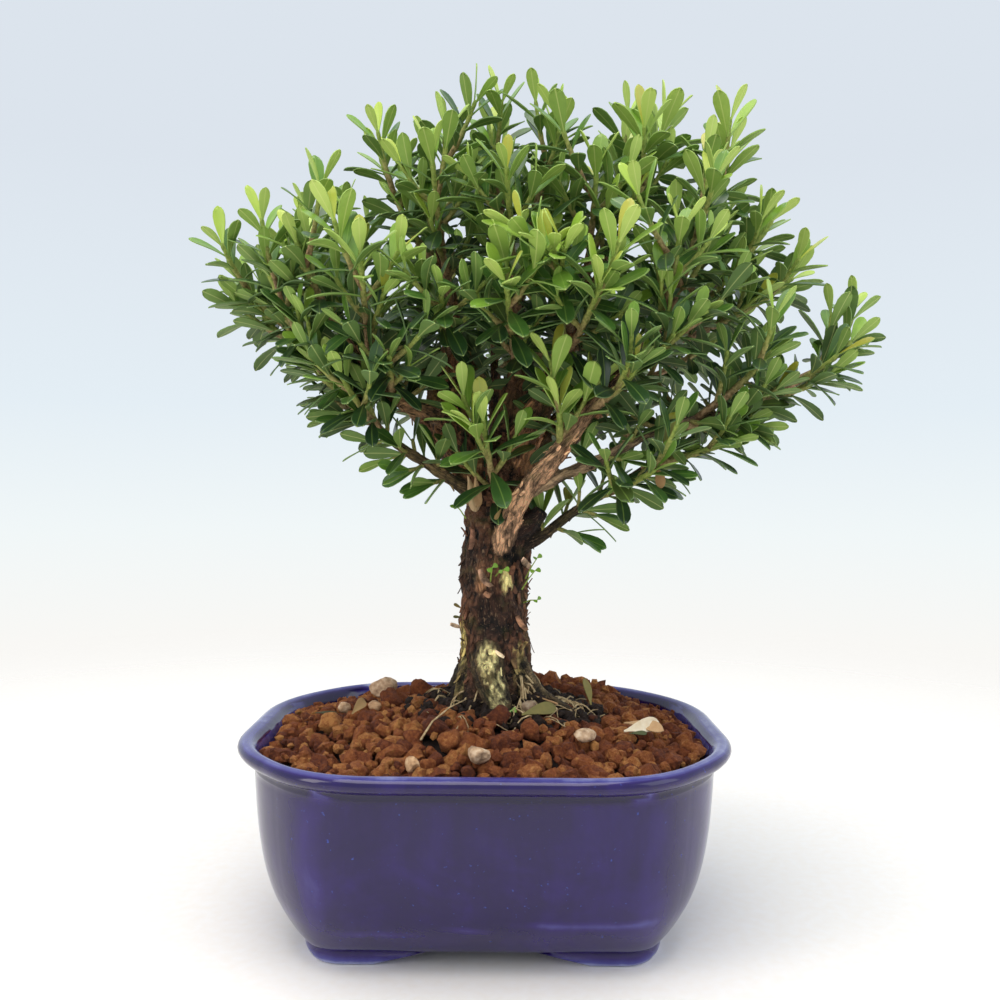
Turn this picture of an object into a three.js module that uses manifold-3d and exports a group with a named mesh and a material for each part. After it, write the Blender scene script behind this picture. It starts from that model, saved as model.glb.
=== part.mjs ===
// A harland boxwood bonsai in its glazed stoneware pot, filled with crumbly clay soil.
// Units are millimetres, +Z is up and -Y is the front. The tree is shaped round the middle of the
// pot on the surface that it stands on, and the finished group is then moved so that its origin is
// the middle of the base of its own box.
import * as THREE from "three";
import { mergeVertices } from "three/addons/utils/BufferGeometryUtils.js";
import Module from "manifold-3d";

const wasm = await Module();
wasm.setup();

// Clearances
const GAP = 0.35; // between two pieces that touch on the real tree
const LEAF_CLEARANCE = 0.4; // kept round each leaf blade

// Pot: a rectangle with wide chamfers in plan, drawn in towards its four feet
const RIM_HALF_X = 67.4;
const RIM_HALF_Y = 60;
const CORNER_X = 41.5; // the front and back faces end here
const CORNER_Y = 29; // the side faces end here
const LEAST_CHAMFER = 6;
const CORNER_REACH = 17; // how far a soft corner runs along each of its sides
const CORNER_STEPS = 2;
const RIM_TOP = 53;
const BASE_UNDERSIDE = 3.2;
const FLOOR_TOP = 8;
const FOOT_INSET = 20.2; // from the widest line of the rim
const FOOT_WIDTH = 7.6;
const FOOT_TOP = 4.2; // sunk into the base
const FOOT_GAP_X = 23; // half the opening between the feet, front and back
const FOOT_GAP_Y = 14; // the same at the sides
const DRAIN_RADIUS = 6;
const DRAIN_X = 22; // a drain hole each side of the middle
const DRAIN_SIDES = 16;

// Screens over the drain holes
const SCREEN_SIDE = 20;
const SCREEN_THICKNESS = 0.9;
const SCREEN_HOLES = 3; // in each row
const SCREEN_BAR = 2;

// Soil
const SOIL_EDGE = 50.2; // height where the soil meets the wall
const SOIL_CREST = 60; // height of the bed round the trunk
const CRUMB_SPACING = 6.8; // of the relief that stands for the grains of the bed
const CRUMB_RELIEF = 3.4;
const GRAIN_COUNT = 9; // the largest grains, which stand out of the relief
const GRAIN_RADIUS = 4.2;

// Leaves and stems
const LEAF_LENGTH = 15;
const LEAF_WIDTH = 5.6;
const LEAF_THICKNESS = 0.6;
const LEAF_ARCH = 0.09; // droop of the tip, as a share of the length
const LEAF_WIDEST = 0.6; // place of the widest line along the blade
const LEAF_ROOT = 0.15; // how far a blade starts behind the middle of its stem
const LEAF_STAGGER = 0.8; // between the two leaves of a pair, so that their roots don't cross
const FIRST_PAIR = 3; // from the tip of a stem down to its youngest pair of leaves
const PAIR_SPACING = 10; // between two pairs of leaves on a stem
const TIP_LEAVES = 13; // how far the youngest leaves stand beyond the tip of a stem
const LEAST_PLACE = 0.12; // share of a stem above its foot that stays bare
const TWIG_RADIUS = 1.1;
const STEM_TIP_RADIUS = 0.85;
const SIDE_STEM_RADIUS = 0.85;
const SIDE_STEM_LENGTH = 20;

// Colours
const GLAZE_BLUE = 0x2f2f78;
const SCREEN_BLACK = 0x20211f;
const SOIL_BROWN = 0x8a4526;
const BARK_BROWN = 0x6f4e35;
const LEAF_GREEN = 0x4f7a35;
const PEBBLE_GREY = 0xcbb9a3;
const FALLEN_OLIVE = 0x8a8448;
const DRIED_TAN = 0xc9a97c;

// Limbs of the tree as routes of [x, y, z, radius]. Each starts inside the limb that carries it.
const LIMBS = {
  trunk: [
    [2, 0, 47, 12.5], [2.4, 0, 60, 12], [2.6, 0, 70, 10.2], [2.2, 0, 84, 9.6],
    [2.4, 0.4, 98, 9.8], [3.2, 1, 110, 9.9], [4, 1, 121, 9], [4.2, 1, 132, 6],
  ],
  left_bough: [
    [1, 1, 116, 6.6], [-6, 2, 130, 6.2], [-12, 3, 142, 5.6], [-13, 4, 152, 4.4],
    [-11, 4, 163, 2.7], [-11, 3, 175, 1.9], [-15, 2, 190, 1.2],
  ],
  centre_bough: [
    [4, 2, 122, 6.4], [8, 7, 146, 5], [10, 10, 160, 3.8], [8, 12, 177, 2.4], [6, 12, 194, 1.3],
  ],
  right_bough: [
    [6, 0, 122, 5.4], [12, -3, 138, 4.4], [17, -5, 148, 3.6], [21, -5, 158, 2.9],
    [26, -3, 172, 1.9], [29, -1, 188, 1.2],
  ],
  front_branch: [
    [3, -4, 99, 3.4], [6.5, -11, 112, 3.1], [11.4, -13.5, 120.7, 2.9], [17.4, -15.5, 128, 2.7],
    [25.2, -17, 138.4, 2.3], [32.4, -18, 147, 1.9], [43, -18, 157, 1.5], [49, -17, 167, 1.1],
  ],
  right_fork: [
    [11, -13, 119, 2.1], [19.6, -14, 123.7, 1.9], [30.5, -16, 128.4, 1.7], [47, -17, 137, 1.4],
    [59, -15, 140.5, 1.2], [72, -12, 143.5, 1], [81, -10, 148.5, 0.9],
  ],
  low_right: [
    [8, -3, 103, 2.4], [15.6, -4, 107, 1.9], [23.8, -6, 113.5, 1.5], [35.6, -9, 121, 1.2],
    [44, -10, 127, 0.9],
  ],
  low_left: [
    [-3, -2, 118, 2.4], [-9, -4, 122, 2], [-16.6, -6, 127, 1.7], [-25.4, -8, 132.4, 1.5],
    [-36.9, -9, 143, 1.3], [-46, -9, 152.4, 1.1], [-54, -7, 164, 0.9],
  ],
  mid_left: [
    [-10, 2, 139, 3.2], [-15, -5, 141.5, 2.7], [-24, -8, 144.6, 2.2], [-33, -12, 153.2, 1.7],
    [-41, -13, 163.6, 1.1],
  ],
  right_mid: [
    [7, 2, 124, 4.4], [20, 5, 139, 3.3], [34, 5, 152, 2.4], [48, 4, 163, 1.7], [57, 3, 173, 1.1],
  ],
  back_left: [
    [0, 4, 119, 5], [-12, 14, 132, 3.7], [-24, 24, 146, 2.7], [-34, 31, 160, 1.7],
    [-40, 35, 172, 1.1],
  ],
  back_centre: [
    [3, 5, 124, 4.6], [3, 19, 138, 3.3], [2, 33, 152, 2.2], [1, 42, 167, 1.2],
  ],
  back_right: [
    [7, 4, 118, 4.7], [20, 14, 131, 3.4], [34, 24, 145, 2.5], [46, 30, 158, 1.7],
    [53, 32, 169, 1.1],
  ],
  cut_stub_left: [[-7, -2, 133, 3.4], [-10.5, -8, 138, 3.2], [-11.5, -10, 140.5, 2]],
  cut_stub_right: [[6, -4, 108, 4], [13, -7, 111.5, 3], [15.5, -8, 114.5, 2.2]],
  root_front: [[2, -3, 79, 4.6], [0.6, -10, 70, 4.6], [3.4, -13.5, 62, 3.9], [5.4, -15, 53, 2.6]],
  root_right: [
    [6, -2, 75, 4.2], [11, -5, 67, 3.2], [16, -7, 62, 2], [23, -9, 58.5, 1.5], [29, -10, 54, 1.2],
  ],
  root_left: [[-2, -2, 74, 4.4], [-5.5, -4, 65, 3.6], [-8, -6, 56, 2.4]],
  root_back_left: [[-1, 4, 74, 4.4], [-7, 11, 64, 3.4], [-11, 16, 54, 2.2]],
  root_back_right: [[5, 4, 75, 4.4], [11, 11, 64, 3.4], [16, 16, 54, 2.2]],
};
const TRUNK_SIDES = 12;
const LIMB_SIDES = 6;

// Leafy stems as [limb, place along it from 0 to 1, x, y, z of the outermost leaves, side stems].
const SPRAYS = [
  ["low_left", 0.98, -74, -6, 186, 1],
  ["low_left", 0.86, -69, -4, 177, 0],
  ["low_left", 0.72, -63, -22, 190, 1],
  ["low_left", 0.56, -52, -17, 163, 0],
  ["low_left", 0.42, -41, -33, 157, 0],
  ["mid_left", 0.98, -53, -28, 194, 1],
  ["mid_left", 0.86, -60, 8, 204, 1],
  ["mid_left", 0.68, -32, -42, 188, 1],
  ["mid_left", 0.5, -25, -38, 160, 0],
  ["left_bough", 0.98, -13, 4, 236, 1],
  ["left_bough", 0.86, -35, 4, 226, 1],
  ["left_bough", 0.78, -16, -26, 219, 1],
  ["left_bough", 0.6, -12, -42, 174, 0],
  ["centre_bough", 0.98, -1, 10, 237, 1],
  ["centre_bough", 0.9, 20, -6, 232, 0],
  ["centre_bough", 0.82, -4, 32, 229, 1],
  ["centre_bough", 0.74, 22, 28, 228, 1],
  ["centre_bough", 0.62, 4, -34, 212, 1],
  ["centre_bough", 0.42, 4, -46, 178, 0],
  ["right_bough", 0.98, 41, 6, 230, 1],
  ["right_bough", 0.88, 29, -26, 216, 1],
  ["right_bough", 0.8, 52, -6, 234, 1],
  ["right_bough", 0.66, 15, -47, 186, 0],
  ["right_bough", 0.5, 30, -48, 178, 1],
  ["front_branch", 0.98, 61, -18, 214, 1],
  ["front_branch", 0.9, 50, -38, 196, 1],
  ["front_branch", 0.76, 58, -35, 172, 1],
  ["front_branch", 0.6, 41, -43, 158, 0],
  ["right_mid", 0.98, 71, 0, 229, 1],
  ["right_mid", 0.88, 87, 3, 208, 1],
  ["right_mid", 0.74, 97, 8, 190, 0],
  ["right_fork", 0.98, 108, -8, 170, 1],
  ["right_fork", 0.84, 101, -2, 158, 0],
  ["right_fork", 0.66, 80, -24, 166, 1],
  ["right_fork", 0.56, 82, -12, 138, 0],
  ["low_right", 0.98, 70, -21, 138, 0],
  ["low_right", 0.66, 49, -32, 131, 0],
  ["back_left", 0.98, -58, 34, 198, 1],
  ["back_left", 0.84, -42, 55, 187, 1],
  ["back_left", 0.7, -48, 30, 221, 1],
  ["back_centre", 0.98, 2, 66, 197, 1],
  ["back_centre", 0.76, -2, 68, 168, 0],
  ["back_right", 0.98, 66, 38, 203, 1],
  ["back_right", 0.84, 44, 57, 196, 1],
  ["back_right", 0.7, 84, 27, 180, 0],
  ["back_left", 0.56, -68, 24, 176, 0],
  ["back_centre", 0.6, -22, 60, 212, 0],
  ["back_right", 0.5, 38, 62, 168, 0],
];
const SPROUTS = [
  ["trunk", 0.8, -2, -27, 147, 0],
  ["front_branch", 0.46, 19, -25, 152, 0],
];

// A repeatable draw from 0 to 1 for any pair of whole numbers.
function draw(row, column) {
  const wave = Math.sin(row * 12.9898 + column * 78.233) * 43758.5453;
  return wave - Math.floor(wave);
}

function vector(x, y, z) {
  return new THREE.Vector3(x, y, z);
}

// The closed solid of a geometry, with its faces turned outwards.
function solidFrom(geometry) {
  const bare = new THREE.BufferGeometry();
  bare.setAttribute("position", geometry.getAttribute("position"));
  bare.setIndex(geometry.index);
  const merged = mergeVertices(bare, 1e-4);
  const kept = [];
  for (let i = 0; i < merged.index.count; i += 3) {
    const [a, b, c] = [0, 1, 2].map((corner) => merged.index.getX(i + corner));
    if (a !== b && b !== c && c !== a) kept.push(a, b, c);
  }
  const build = (triangles) =>
    new wasm.Manifold(
      new wasm.Mesh({
        numProp: 3,
        vertProperties: merged.getAttribute("position").array,
        triVerts: new Uint32Array(triangles),
      }),
    );
  const solid = build(kept);
  return solid.volume() < 0 ? build(kept.reverse()) : solid;
}

// True where no two corners of a solid nearly meet, so that it stays closed in single precision.
function isSound(solid) {
  const corners = new THREE.BufferAttribute(solid.getMesh().vertProperties, 3);
  const cloud = new THREE.BufferGeometry().setAttribute("position", corners);
  return [0.003, 0.005].every(
    (tolerance) => mergeVertices(cloud, tolerance).getAttribute("position").count === corners.count,
  );
}

function joined(solids) {
  return solids.reduce((whole, next) => whole.add(next));
}

function largestBody(solid) {
  const bodies = solid.decompose();
  return bodies.reduce((best, body) => (body.volume() > best.volume() ? body : best));
}

function blockFrom(low, high) {
  const size = vector(...high).sub(vector(...low));
  const middle = vector(...high).add(vector(...low)).multiplyScalar(0.5);
  return solidFrom(new THREE.BoxGeometry(...size).translate(...middle));
}

// Pot
// One ring of the pot's plan, a given distance inside the widest line of its rim. The corners keep
// their places from rim to foot, so the chamfers narrow as the wall draws in.
function planRing(inset) {
  const halfX = RIM_HALF_X - inset;
  const halfY = RIM_HALF_Y - inset;
  const cornerX = Math.min(CORNER_X, halfX - LEAST_CHAMFER);
  const cornerY = Math.min(CORNER_Y, halfY - LEAST_CHAMFER);
  const quarter = [[halfX, cornerY], [cornerX, halfY]];
  const half = [...quarter, ...quarter.toReversed().map(([x, y]) => [-x, y])];
  const corners = [...half, ...half.map(([x, y]) => [-x, -y])].map(
    ([x, y]) => new THREE.Vector2(x, y),
  );
  const path = new THREE.Path();
  corners.forEach((corner, i) => {
    const before = corners.at(i - 1);
    const after = corners[(i + 1) % corners.length];
    const room = 0.45 * Math.min(corner.distanceTo(before), corner.distanceTo(after));
    const reach = Math.min(CORNER_REACH, room);
    const from = before.clone().sub(corner).setLength(reach).add(corner);
    const to = after.clone().sub(corner).setLength(reach).add(corner);
    if (i === 0) path.moveTo(from.x, from.y);
    else path.lineTo(from.x, from.y);
    path.quadraticCurveTo(corner.x, corner.y, to.x, to.y);
  });
  return path.getPoints(CORNER_STEPS);
}

// A body whose rings follow the pot's plan. Its profile is a list of [inset, height]; a profile
// that isn't a closed loop starts and ends on the upright axis, where the inset is null.
function planBody(profile, heightAt = (x, y, z) => z) {
  const rings = profile.map(([inset]) => (inset === null ? null : planRing(inset)));
  const sides = planRing(0).length;
  const silhouette = profile.map(([inset, z]) => new THREE.Vector2(inset === null ? 0 : 1, z));
  const turned = new THREE.LatheGeometry(silhouette, sides);
  const place = turned.getAttribute("position");
  for (let i = 0; i < place.count; i++) {
    const ring = rings[i % profile.length];
    const spot = ring ? ring[Math.floor(i / profile.length) % sides] : { x: 0, y: 0 };
    place.setXYZ(i, spot.x, spot.y, heightAt(spot.x, spot.y, profile[i % profile.length][1]));
  }
  return solidFrom(turned);
}

const INNER_WALL = [[7.2, 47], [10.4, 36], [13, 20], [16.5, 12.6], [22, FLOOR_TOP]];

function makePotBody() {
  const base = [[null, BASE_UNDERSIDE], [19.6, BASE_UNDERSIDE]];
  const wall = [[18.4, 4.6], [14.6, 8.6], [10.6, 14.6], [7.9, 22], [6.2, 31], [5, 45]];
  const roll = [[4, 47.6], [1.2, 49.1], [0, 51], [1.2, 52.6], [3.4, RIM_TOP], [6.2, 51.2]];
  return planBody([...base, ...wall, ...roll, ...INNER_WALL, [null, FLOOR_TOP]]);
}

// The arch between two feet, cut right through the foot ring.
function footArch(halfGap, reach) {
  const shape = new THREE.Shape();
  shape.moveTo(-halfGap, -1);
  shape.quadraticCurveTo(-halfGap + 1, 2.2, -halfGap + 6, 2.4);
  shape.quadraticCurveTo(-halfGap + 8, 3, -halfGap + 9, FOOT_TOP + 1);
  shape.lineTo(halfGap - 9, FOOT_TOP + 1);
  shape.quadraticCurveTo(halfGap - 8, 3, halfGap - 6, 2.4);
  shape.quadraticCurveTo(halfGap - 1, 2.2, halfGap, -1);
  const options = { depth: 2 * reach, bevelEnabled: false, curveSegments: 2 };
  return new THREE.ExtrudeGeometry(shape, options).translate(0, 0, -reach).rotateX(Math.PI / 2);
}

function makeFeet() {
  const inner = FOOT_INSET + FOOT_WIDTH;
  const ring = planBody([
    [FOOT_INSET, 0], [FOOT_INSET - 0.6, FOOT_TOP], [inner, FOOT_TOP], [inner, 0], [FOOT_INSET, 0],
  ]);
  const frontArch = solidFrom(footArch(FOOT_GAP_X, RIM_HALF_Y));
  const sideArch = solidFrom(footArch(FOOT_GAP_Y, RIM_HALF_X).rotateZ(Math.PI / 2));
  return ring.subtract(frontArch).subtract(sideArch);
}

function drainHole(x) {
  const bore = new THREE.CylinderGeometry(DRAIN_RADIUS, DRAIN_RADIUS, FLOOR_TOP * 3, DRAIN_SIDES);
  return solidFrom(bore.rotateX(Math.PI / 2).translate(x, 0, 0));
}

function makePot() {
  const whole = makePotBody().add(makeFeet());
  return whole.subtract(drainHole(-DRAIN_X)).subtract(drainHole(DRAIN_X));
}

function makeScreen(x) {
  const half = SCREEN_SIDE / 2;
  const low = FLOOR_TOP + GAP;
  const high = low + SCREEN_THICKNESS;
  const pitch = (SCREEN_SIDE - SCREEN_BAR) / SCREEN_HOLES;
  let screen = blockFrom([x - half, -half, low], [x + half, half, high]);
  for (let i = 0; i < SCREEN_HOLES; i++) {
    for (let j = 0; j < SCREEN_HOLES; j++) {
      const left = x - half + SCREEN_BAR + i * pitch;
      const front = -half + SCREEN_BAR + j * pitch;
      const hole = pitch - SCREEN_BAR;
      screen = screen.subtract(
        blockFrom([left, front, low - 1], [left + hole, front + hole, high + 1]),
      );
    }
  }
  return screen;
}

// Wood
function radiusAt(route, t) {
  const place = Math.min(t * (route.length - 1), route.length - 1.0001);
  const i = Math.floor(place);
  return THREE.MathUtils.lerp(route[i][3], route[i + 1][3], place - i);
}

function routeCurve(route) {
  return new THREE.CatmullRomCurve3(route.map(([x, y, z]) => vector(x, y, z)));
}

// A closed tube of changing radius along a curve. The radius is a function of the curve's own
// parameter and of the angle round it.
function tube(curve, radius, sides, steps, frames = curve.computeFrenetFrames(steps)) {
  const shape = new THREE.CylinderGeometry(1, 1, 1, sides, steps);
  const place = shape.getAttribute("position");
  for (let i = 0; i < place.count; i++) {
    const row = Math.round((0.5 - place.getY(i)) * steps);
    const t = curve.getUtoTmapping(row / steps);
    const angle = Math.atan2(place.getZ(i), place.getX(i));
    const reach = Math.hypot(place.getX(i), place.getZ(i)) * radius(t, angle);
    const spot = curve
      .getPoint(t)
      .addScaledVector(frames.normals[row], Math.cos(angle) * reach)
      .addScaledVector(frames.binormals[row], Math.sin(angle) * reach);
    place.setXYZ(i, spot.x, spot.y, spot.z);
  }
  return solidFrom(shape);
}

// Old bark stands in uneven ridges: the thicker the limb, the deeper they are.
function barkRidge(radius, t, angle) {
  const depth = radius > 5 ? 0.07 : 0.03;
  return 1 + depth * Math.sin(3 * angle + 4 * t) + depth * 0.6 * Math.sin(5 * angle - 9 * t + 1);
}

function limbSolid(name, extra) {
  const route = LIMBS[name];
  const radius = (t, angle) => {
    const core = radiusAt(route, t);
    return core * barkRidge(core, t, angle) + extra;
  };
  const sides = name === "trunk" ? TRUNK_SIDES : LIMB_SIDES;
  return tube(routeCurve(route), radius, sides, route.length - 1);
}

function makeWood(extra) {
  return joined(Object.keys(LIMBS).map((name) => limbSolid(name, extra)));
}

// Leafy stems
// A stem is square, and its first leaves stand on two opposite flats. It bends in one plane, so
// the square across direction is the plane's own normal, turned about the stem.
function stemFrame(stem, t) {
  const { v0, v1, v2 } = stem.curve;
  const along = stem.curve.getTangent(t);
  const across = v1.clone().sub(v0).cross(v2.clone().sub(v1)).normalize();
  across.applyAxisAngle(along, stem.turn);
  return { along, across, upper: along.clone().cross(across) };
}

function stemSolid(stem, extra) {
  const radius = (t) => THREE.MathUtils.lerp(stem.radius, STEM_TIP_RADIUS, t) + extra;
  const frames = { normals: [], binormals: [] };
  for (let row = 0; row <= stem.steps; row++) {
    const { across, upper } = stemFrame(stem, stem.curve.getUtoTmapping(row / stem.steps));
    frames.normals.push(across.clone().add(upper).normalize());
    frames.binormals.push(upper.clone().sub(across).normalize());
  }
  return tube(stem.curve, radius, 4, stem.steps, frames);
}

// An arched blade lying along +X with its upper face towards +Z. It is a five-sided outline whose
// root is a point, or a fuller outline that leaves out the root.
function bladeShape(length, width, margin, start) {
  const half = width / 2 + margin;
  const tip = width * 0.26 + margin;
  const root = start > 0 ? [[start, half * 0.5], [start, -half * 0.5]] : [[0, 0]];
  const widest = length * LEAF_WIDEST;
  const end = length + margin;
  const outline = [[widest, half], ...root, [widest, -half], [end, -tip], [end, tip]];
  return new THREE.Shape(outline.map(([x, y]) => new THREE.Vector2(x, y)));
}

function bladeSolid(leaf, margin, start) {
  const depth = LEAF_THICKNESS + 2 * margin;
  const shape = bladeShape(leaf.length, leaf.width, margin, start);
  const blade = new THREE.ExtrudeGeometry(shape, { depth, bevelEnabled: false });
  blade.translate(0, 0, -depth / 2);
  const place = blade.getAttribute("position");
  for (let i = 0; i < place.count; i++) {
    const x = place.getX(i);
    place.setZ(i, place.getZ(i) - (LEAF_ARCH * x * x) / leaf.length);
  }
  return solidFrom(blade.translate(-LEAF_ROOT, 0, 0).applyMatrix4(leaf.frame));
}

// A point in the middle of a stem, which is straight between the ends of its steps.
function middleOf(stem, share) {
  const row = Math.min(Math.floor(share * stem.steps), stem.steps - 1);
  const [from, to] = [row, row + 1].map((end) => stem.curve.getPointAt(end / stem.steps));
  return from.lerp(to, share * stem.steps - row);
}

// The leaf at one side of a stem: it leans away from the stem by its spread, and its upper face is
// turned towards the stem's tip and a little towards the sky.
function leafAt(stem, share, turn, spread, size) {
  const { along, across, upper } = stemFrame(stem, stem.curve.getUtoTmapping(share));
  const side = across.multiplyScalar(Math.cos(turn)).addScaledVector(upper, Math.sin(turn));
  const ahead = along.clone().multiplyScalar(Math.cos(spread));
  const direction = ahead.addScaledVector(side, Math.sin(spread)).normalize();
  const sky = vector(0, 0, 0.5).add(along);
  const width = sky.cross(direction).normalize();
  const normal = direction.clone().cross(width);
  const frame = new THREE.Matrix4().makeBasis(direction, width, normal);
  frame.setPosition(middleOf(stem, share));
  return { frame, length: LEAF_LENGTH * size, width: LEAF_WIDTH * size };
}

function boxesMeet(a, b) {
  return [0, 1, 2].every((axis) => a.min[axis] < b.max[axis] && b.min[axis] < a.max[axis]);
}

// True where a solid meets none of the pieces that are already placed.
function isClear(solid, pieces) {
  const box = solid.boundingBox();
  return pieces.every(
    (piece) => !boxesMeet(box, piece.box) || solid.intersect(piece.solid).isEmpty(),
  );
}

function pieceOf(solid, spray) {
  return { solid, spray, box: solid.boundingBox() };
}

// A stem leaves its limb outwards and then rises to its tip. The sideways shift bends it round
// what stands in its way.
function risingCurve(from, to, lift, shift) {
  const run = to.clone().sub(from);
  const sideways = vector(-run.y, run.x, 0).normalize().multiplyScalar(shift);
  const bend = vector(run.x * 0.6, run.y * 0.6, run.z * lift).add(from).add(sideways);
  return new THREE.QuadraticBezierCurve3(from, bend, to);
}

// The stretch of a curve from t to its end.
function laterPart(curve, t) {
  const { v1, v2 } = curve;
  return new THREE.QuadraticBezierCurve3(curve.getPoint(t), v1.clone().lerp(v2, t), v2);
}

const woodSkin = makeWood(GAP);
const woodPiece = pieceOf(woodSkin, "wood");
const placed = [];

function growMainStem(name, row) {
  const [limb, along, x, y, z] = row;
  const route = routeCurve(LIMBS[limb]);
  const tries = [
    [0, 0], [0, 5], [0, -5], [-0.05, 0], [-0.05, 6], [-0.05, -6], [0, 10], [0, -10],
    [-0.1, 0], [-0.1, 9], [-0.1, -9], [-0.15, 5], [-0.15, -5],
  ];
  for (const [slide, shift] of tries) {
    const whole = risingCurve(route.getPointAt(along + slide), vector(x, y, z), 0.38, shift);
    whole.v2.sub(whole.getTangent(1).multiplyScalar(TIP_LEAVES));
    const stem = { radius: TWIG_RADIUS, steps: 2, name, turn: draw(x, y) * Math.PI };
    for (let start = 0.01; start < 0.6; start += 0.01) {
      stem.curve = laterPart(whole, start);
      const solid = stemSolid(stem, 0);
      if (!isClear(solid, [woodPiece])) continue;
      if (isClear(stemSolid(stem, GAP), placed)) {
        placed.push(pieceOf(solid, name));
        return { ...stem, solid };
      }
      break;
    }
  }
  return null;
}

// A side stem leaves the main stem at one of several places and turns, the first that is clear.
function growSideStem(main, row) {
  for (let attempt = 0; attempt < 6; attempt++) {
    const at = 0.7 - 0.05 * attempt;
    const turn = row * 2.4 + attempt * 1.05;
    const along = main.curve.getTangent(at);
    const across = vector(0, 0, 1).cross(along).normalize();
    const side = across.multiplyScalar(Math.cos(turn));
    side.add(vector(0, 0, 0.55)).addScaledVector(along, 0.75).normalize();
    const from = main.curve.getPoint(at);
    const length = SIDE_STEM_LENGTH * (0.85 + 0.3 * draw(row, 1));
    const curve = risingCurve(from, from.clone().addScaledVector(side, length), 0.4, 0);
    const stem = { curve, radius: SIDE_STEM_RADIUS, steps: 1, name: main.name, turn };
    const others = placed.filter((piece) => piece.spray !== main.name);
    const solid = stemSolid(stem, 0);
    const free = isClear(stemSolid(stem, GAP), [...others, woodPiece]);
    if (free && isSound(main.solid.add(solid))) {
      placed.push(pieceOf(solid, main.name));
      return { ...stem, solid };
    }
  }
  return null;
}

// Pairs of leaves stand crosswise up a stem. Those at the tip are upright and the older ones
// spread. A leaf turns aside until it is clear of what is there, or is left out.
function growLeaves(body, stem, pairs, row) {
  const length = stem.curve.getLength();
  let grown = body;
  for (let pair = 0; pair < pairs; pair++) {
    const share = 1 - (FIRST_PAIR + pair * PAIR_SPACING) / length;
    if (share < LEAST_PLACE) break;
    const spread = 0.52 + 0.33 * pair;
    const size = 0.92 + 0.16 * draw(row + 3, pair);
    for (const second of [0, 1]) {
      const turn = (pair * Math.PI) / 2 + second * Math.PI;
      const place = share - (second * LEAF_STAGGER) / length;
      for (const twist of [0, 0.3, -0.3, 0.6, -0.6]) {
        const leaf = leafAt(stem, place, turn + twist, spread + Math.abs(twist) * 0.3, size);
        const outer = bladeSolid(leaf, LEAF_CLEARANCE, leaf.length * 0.3);
        const whole = bladeSolid(leaf, LEAF_CLEARANCE, 0);
        const others = placed.filter((piece) => piece.spray !== stem.name);
        if (!isClear(outer, placed) || !isClear(whole, [...others, woodPiece])) continue;
        const blade = bladeSolid(leaf, 0, 0);
        const joinedOn = grown.add(blade);
        if (!isSound(joinedOn) || joinedOn.decompose().length > 1) continue;
        placed.push(pieceOf(blade, stem.name));
        grown = joinedOn;
        break;
      }
    }
  }
  return grown;
}

function growCrown() {
  const rows = [...SPRAYS, ...SPROUTS];
  const seen = {};
  const mains = rows.map((row) => {
    seen[row[0]] = (seen[row[0]] ?? 0) + 1;
    return growMainStem(`${row[0]}_spray_${seen[row[0]]}`, row);
  });
  const stems = mains.map((main, i) => {
    const side = main && rows[i][5] ? growSideStem(main, i) : null;
    return [main, side].filter(Boolean);
  });
  const sprays = [];
  for (const [i, group] of stems.entries()) {
    if (!group.length) continue;
    const pairs = group.length > 1 ? [2, 1] : [3];
    const bare = joined(group.map((stem) => stem.solid));
    const leafy = group.reduce((body, stem, k) => growLeaves(body, stem, pairs[k], i * 5 + k), bare);
    sprays.push([group[0].name, leafy]);
  }
  return sprays;
}

// Soil
function bedHeight(x, y) {
  const away = Math.hypot(x / (RIM_HALF_X - 8), y / (RIM_HALF_Y - 8));
  const fall = Math.min(1, away) ** 1.6;
  return THREE.MathUtils.lerp(SOIL_CREST, SOIL_EDGE, fall);
}

function grain(spot, radius, row) {
  const crumb = new THREE.IcosahedronGeometry(radius, 0);
  crumb.scale(1, 0.8 + 0.2 * draw(row, 5), 0.62 + 0.25 * draw(row, 6));
  crumb.rotateX(draw(row, 7) - 0.5).rotateY(draw(row, 8) - 0.5).rotateZ(6.28 * draw(row, 9));
  return solidFrom(crumb.translate(spot.x, spot.y, spot.z));
}

// Grains lie on a sunflower spiral that is stretched to the pot's plan.
function growGrains() {
  const grains = [];
  const turnPerGrain = Math.PI * (3 - Math.sqrt(5));
  for (let i = 0; i < GRAIN_COUNT; i++) {
    const share = Math.sqrt((i + 3) / (GRAIN_COUNT + 3));
    const angle = i * turnPerGrain;
    const reach = share / Math.max(1, (Math.abs(Math.cos(angle)) + Math.abs(Math.sin(angle))) * 0.84);
    const x = reach * (RIM_HALF_X - 14) * Math.cos(angle);
    const y = reach * (RIM_HALF_Y - 14) * Math.sin(angle);
    const radius = GRAIN_RADIUS * (0.8 + 0.45 * draw(i, 4));
    grains.push(grain({ x, y, z: bedHeight(x, y) - 0.6 }, radius, i));
  }
  return grains;
}

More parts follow.
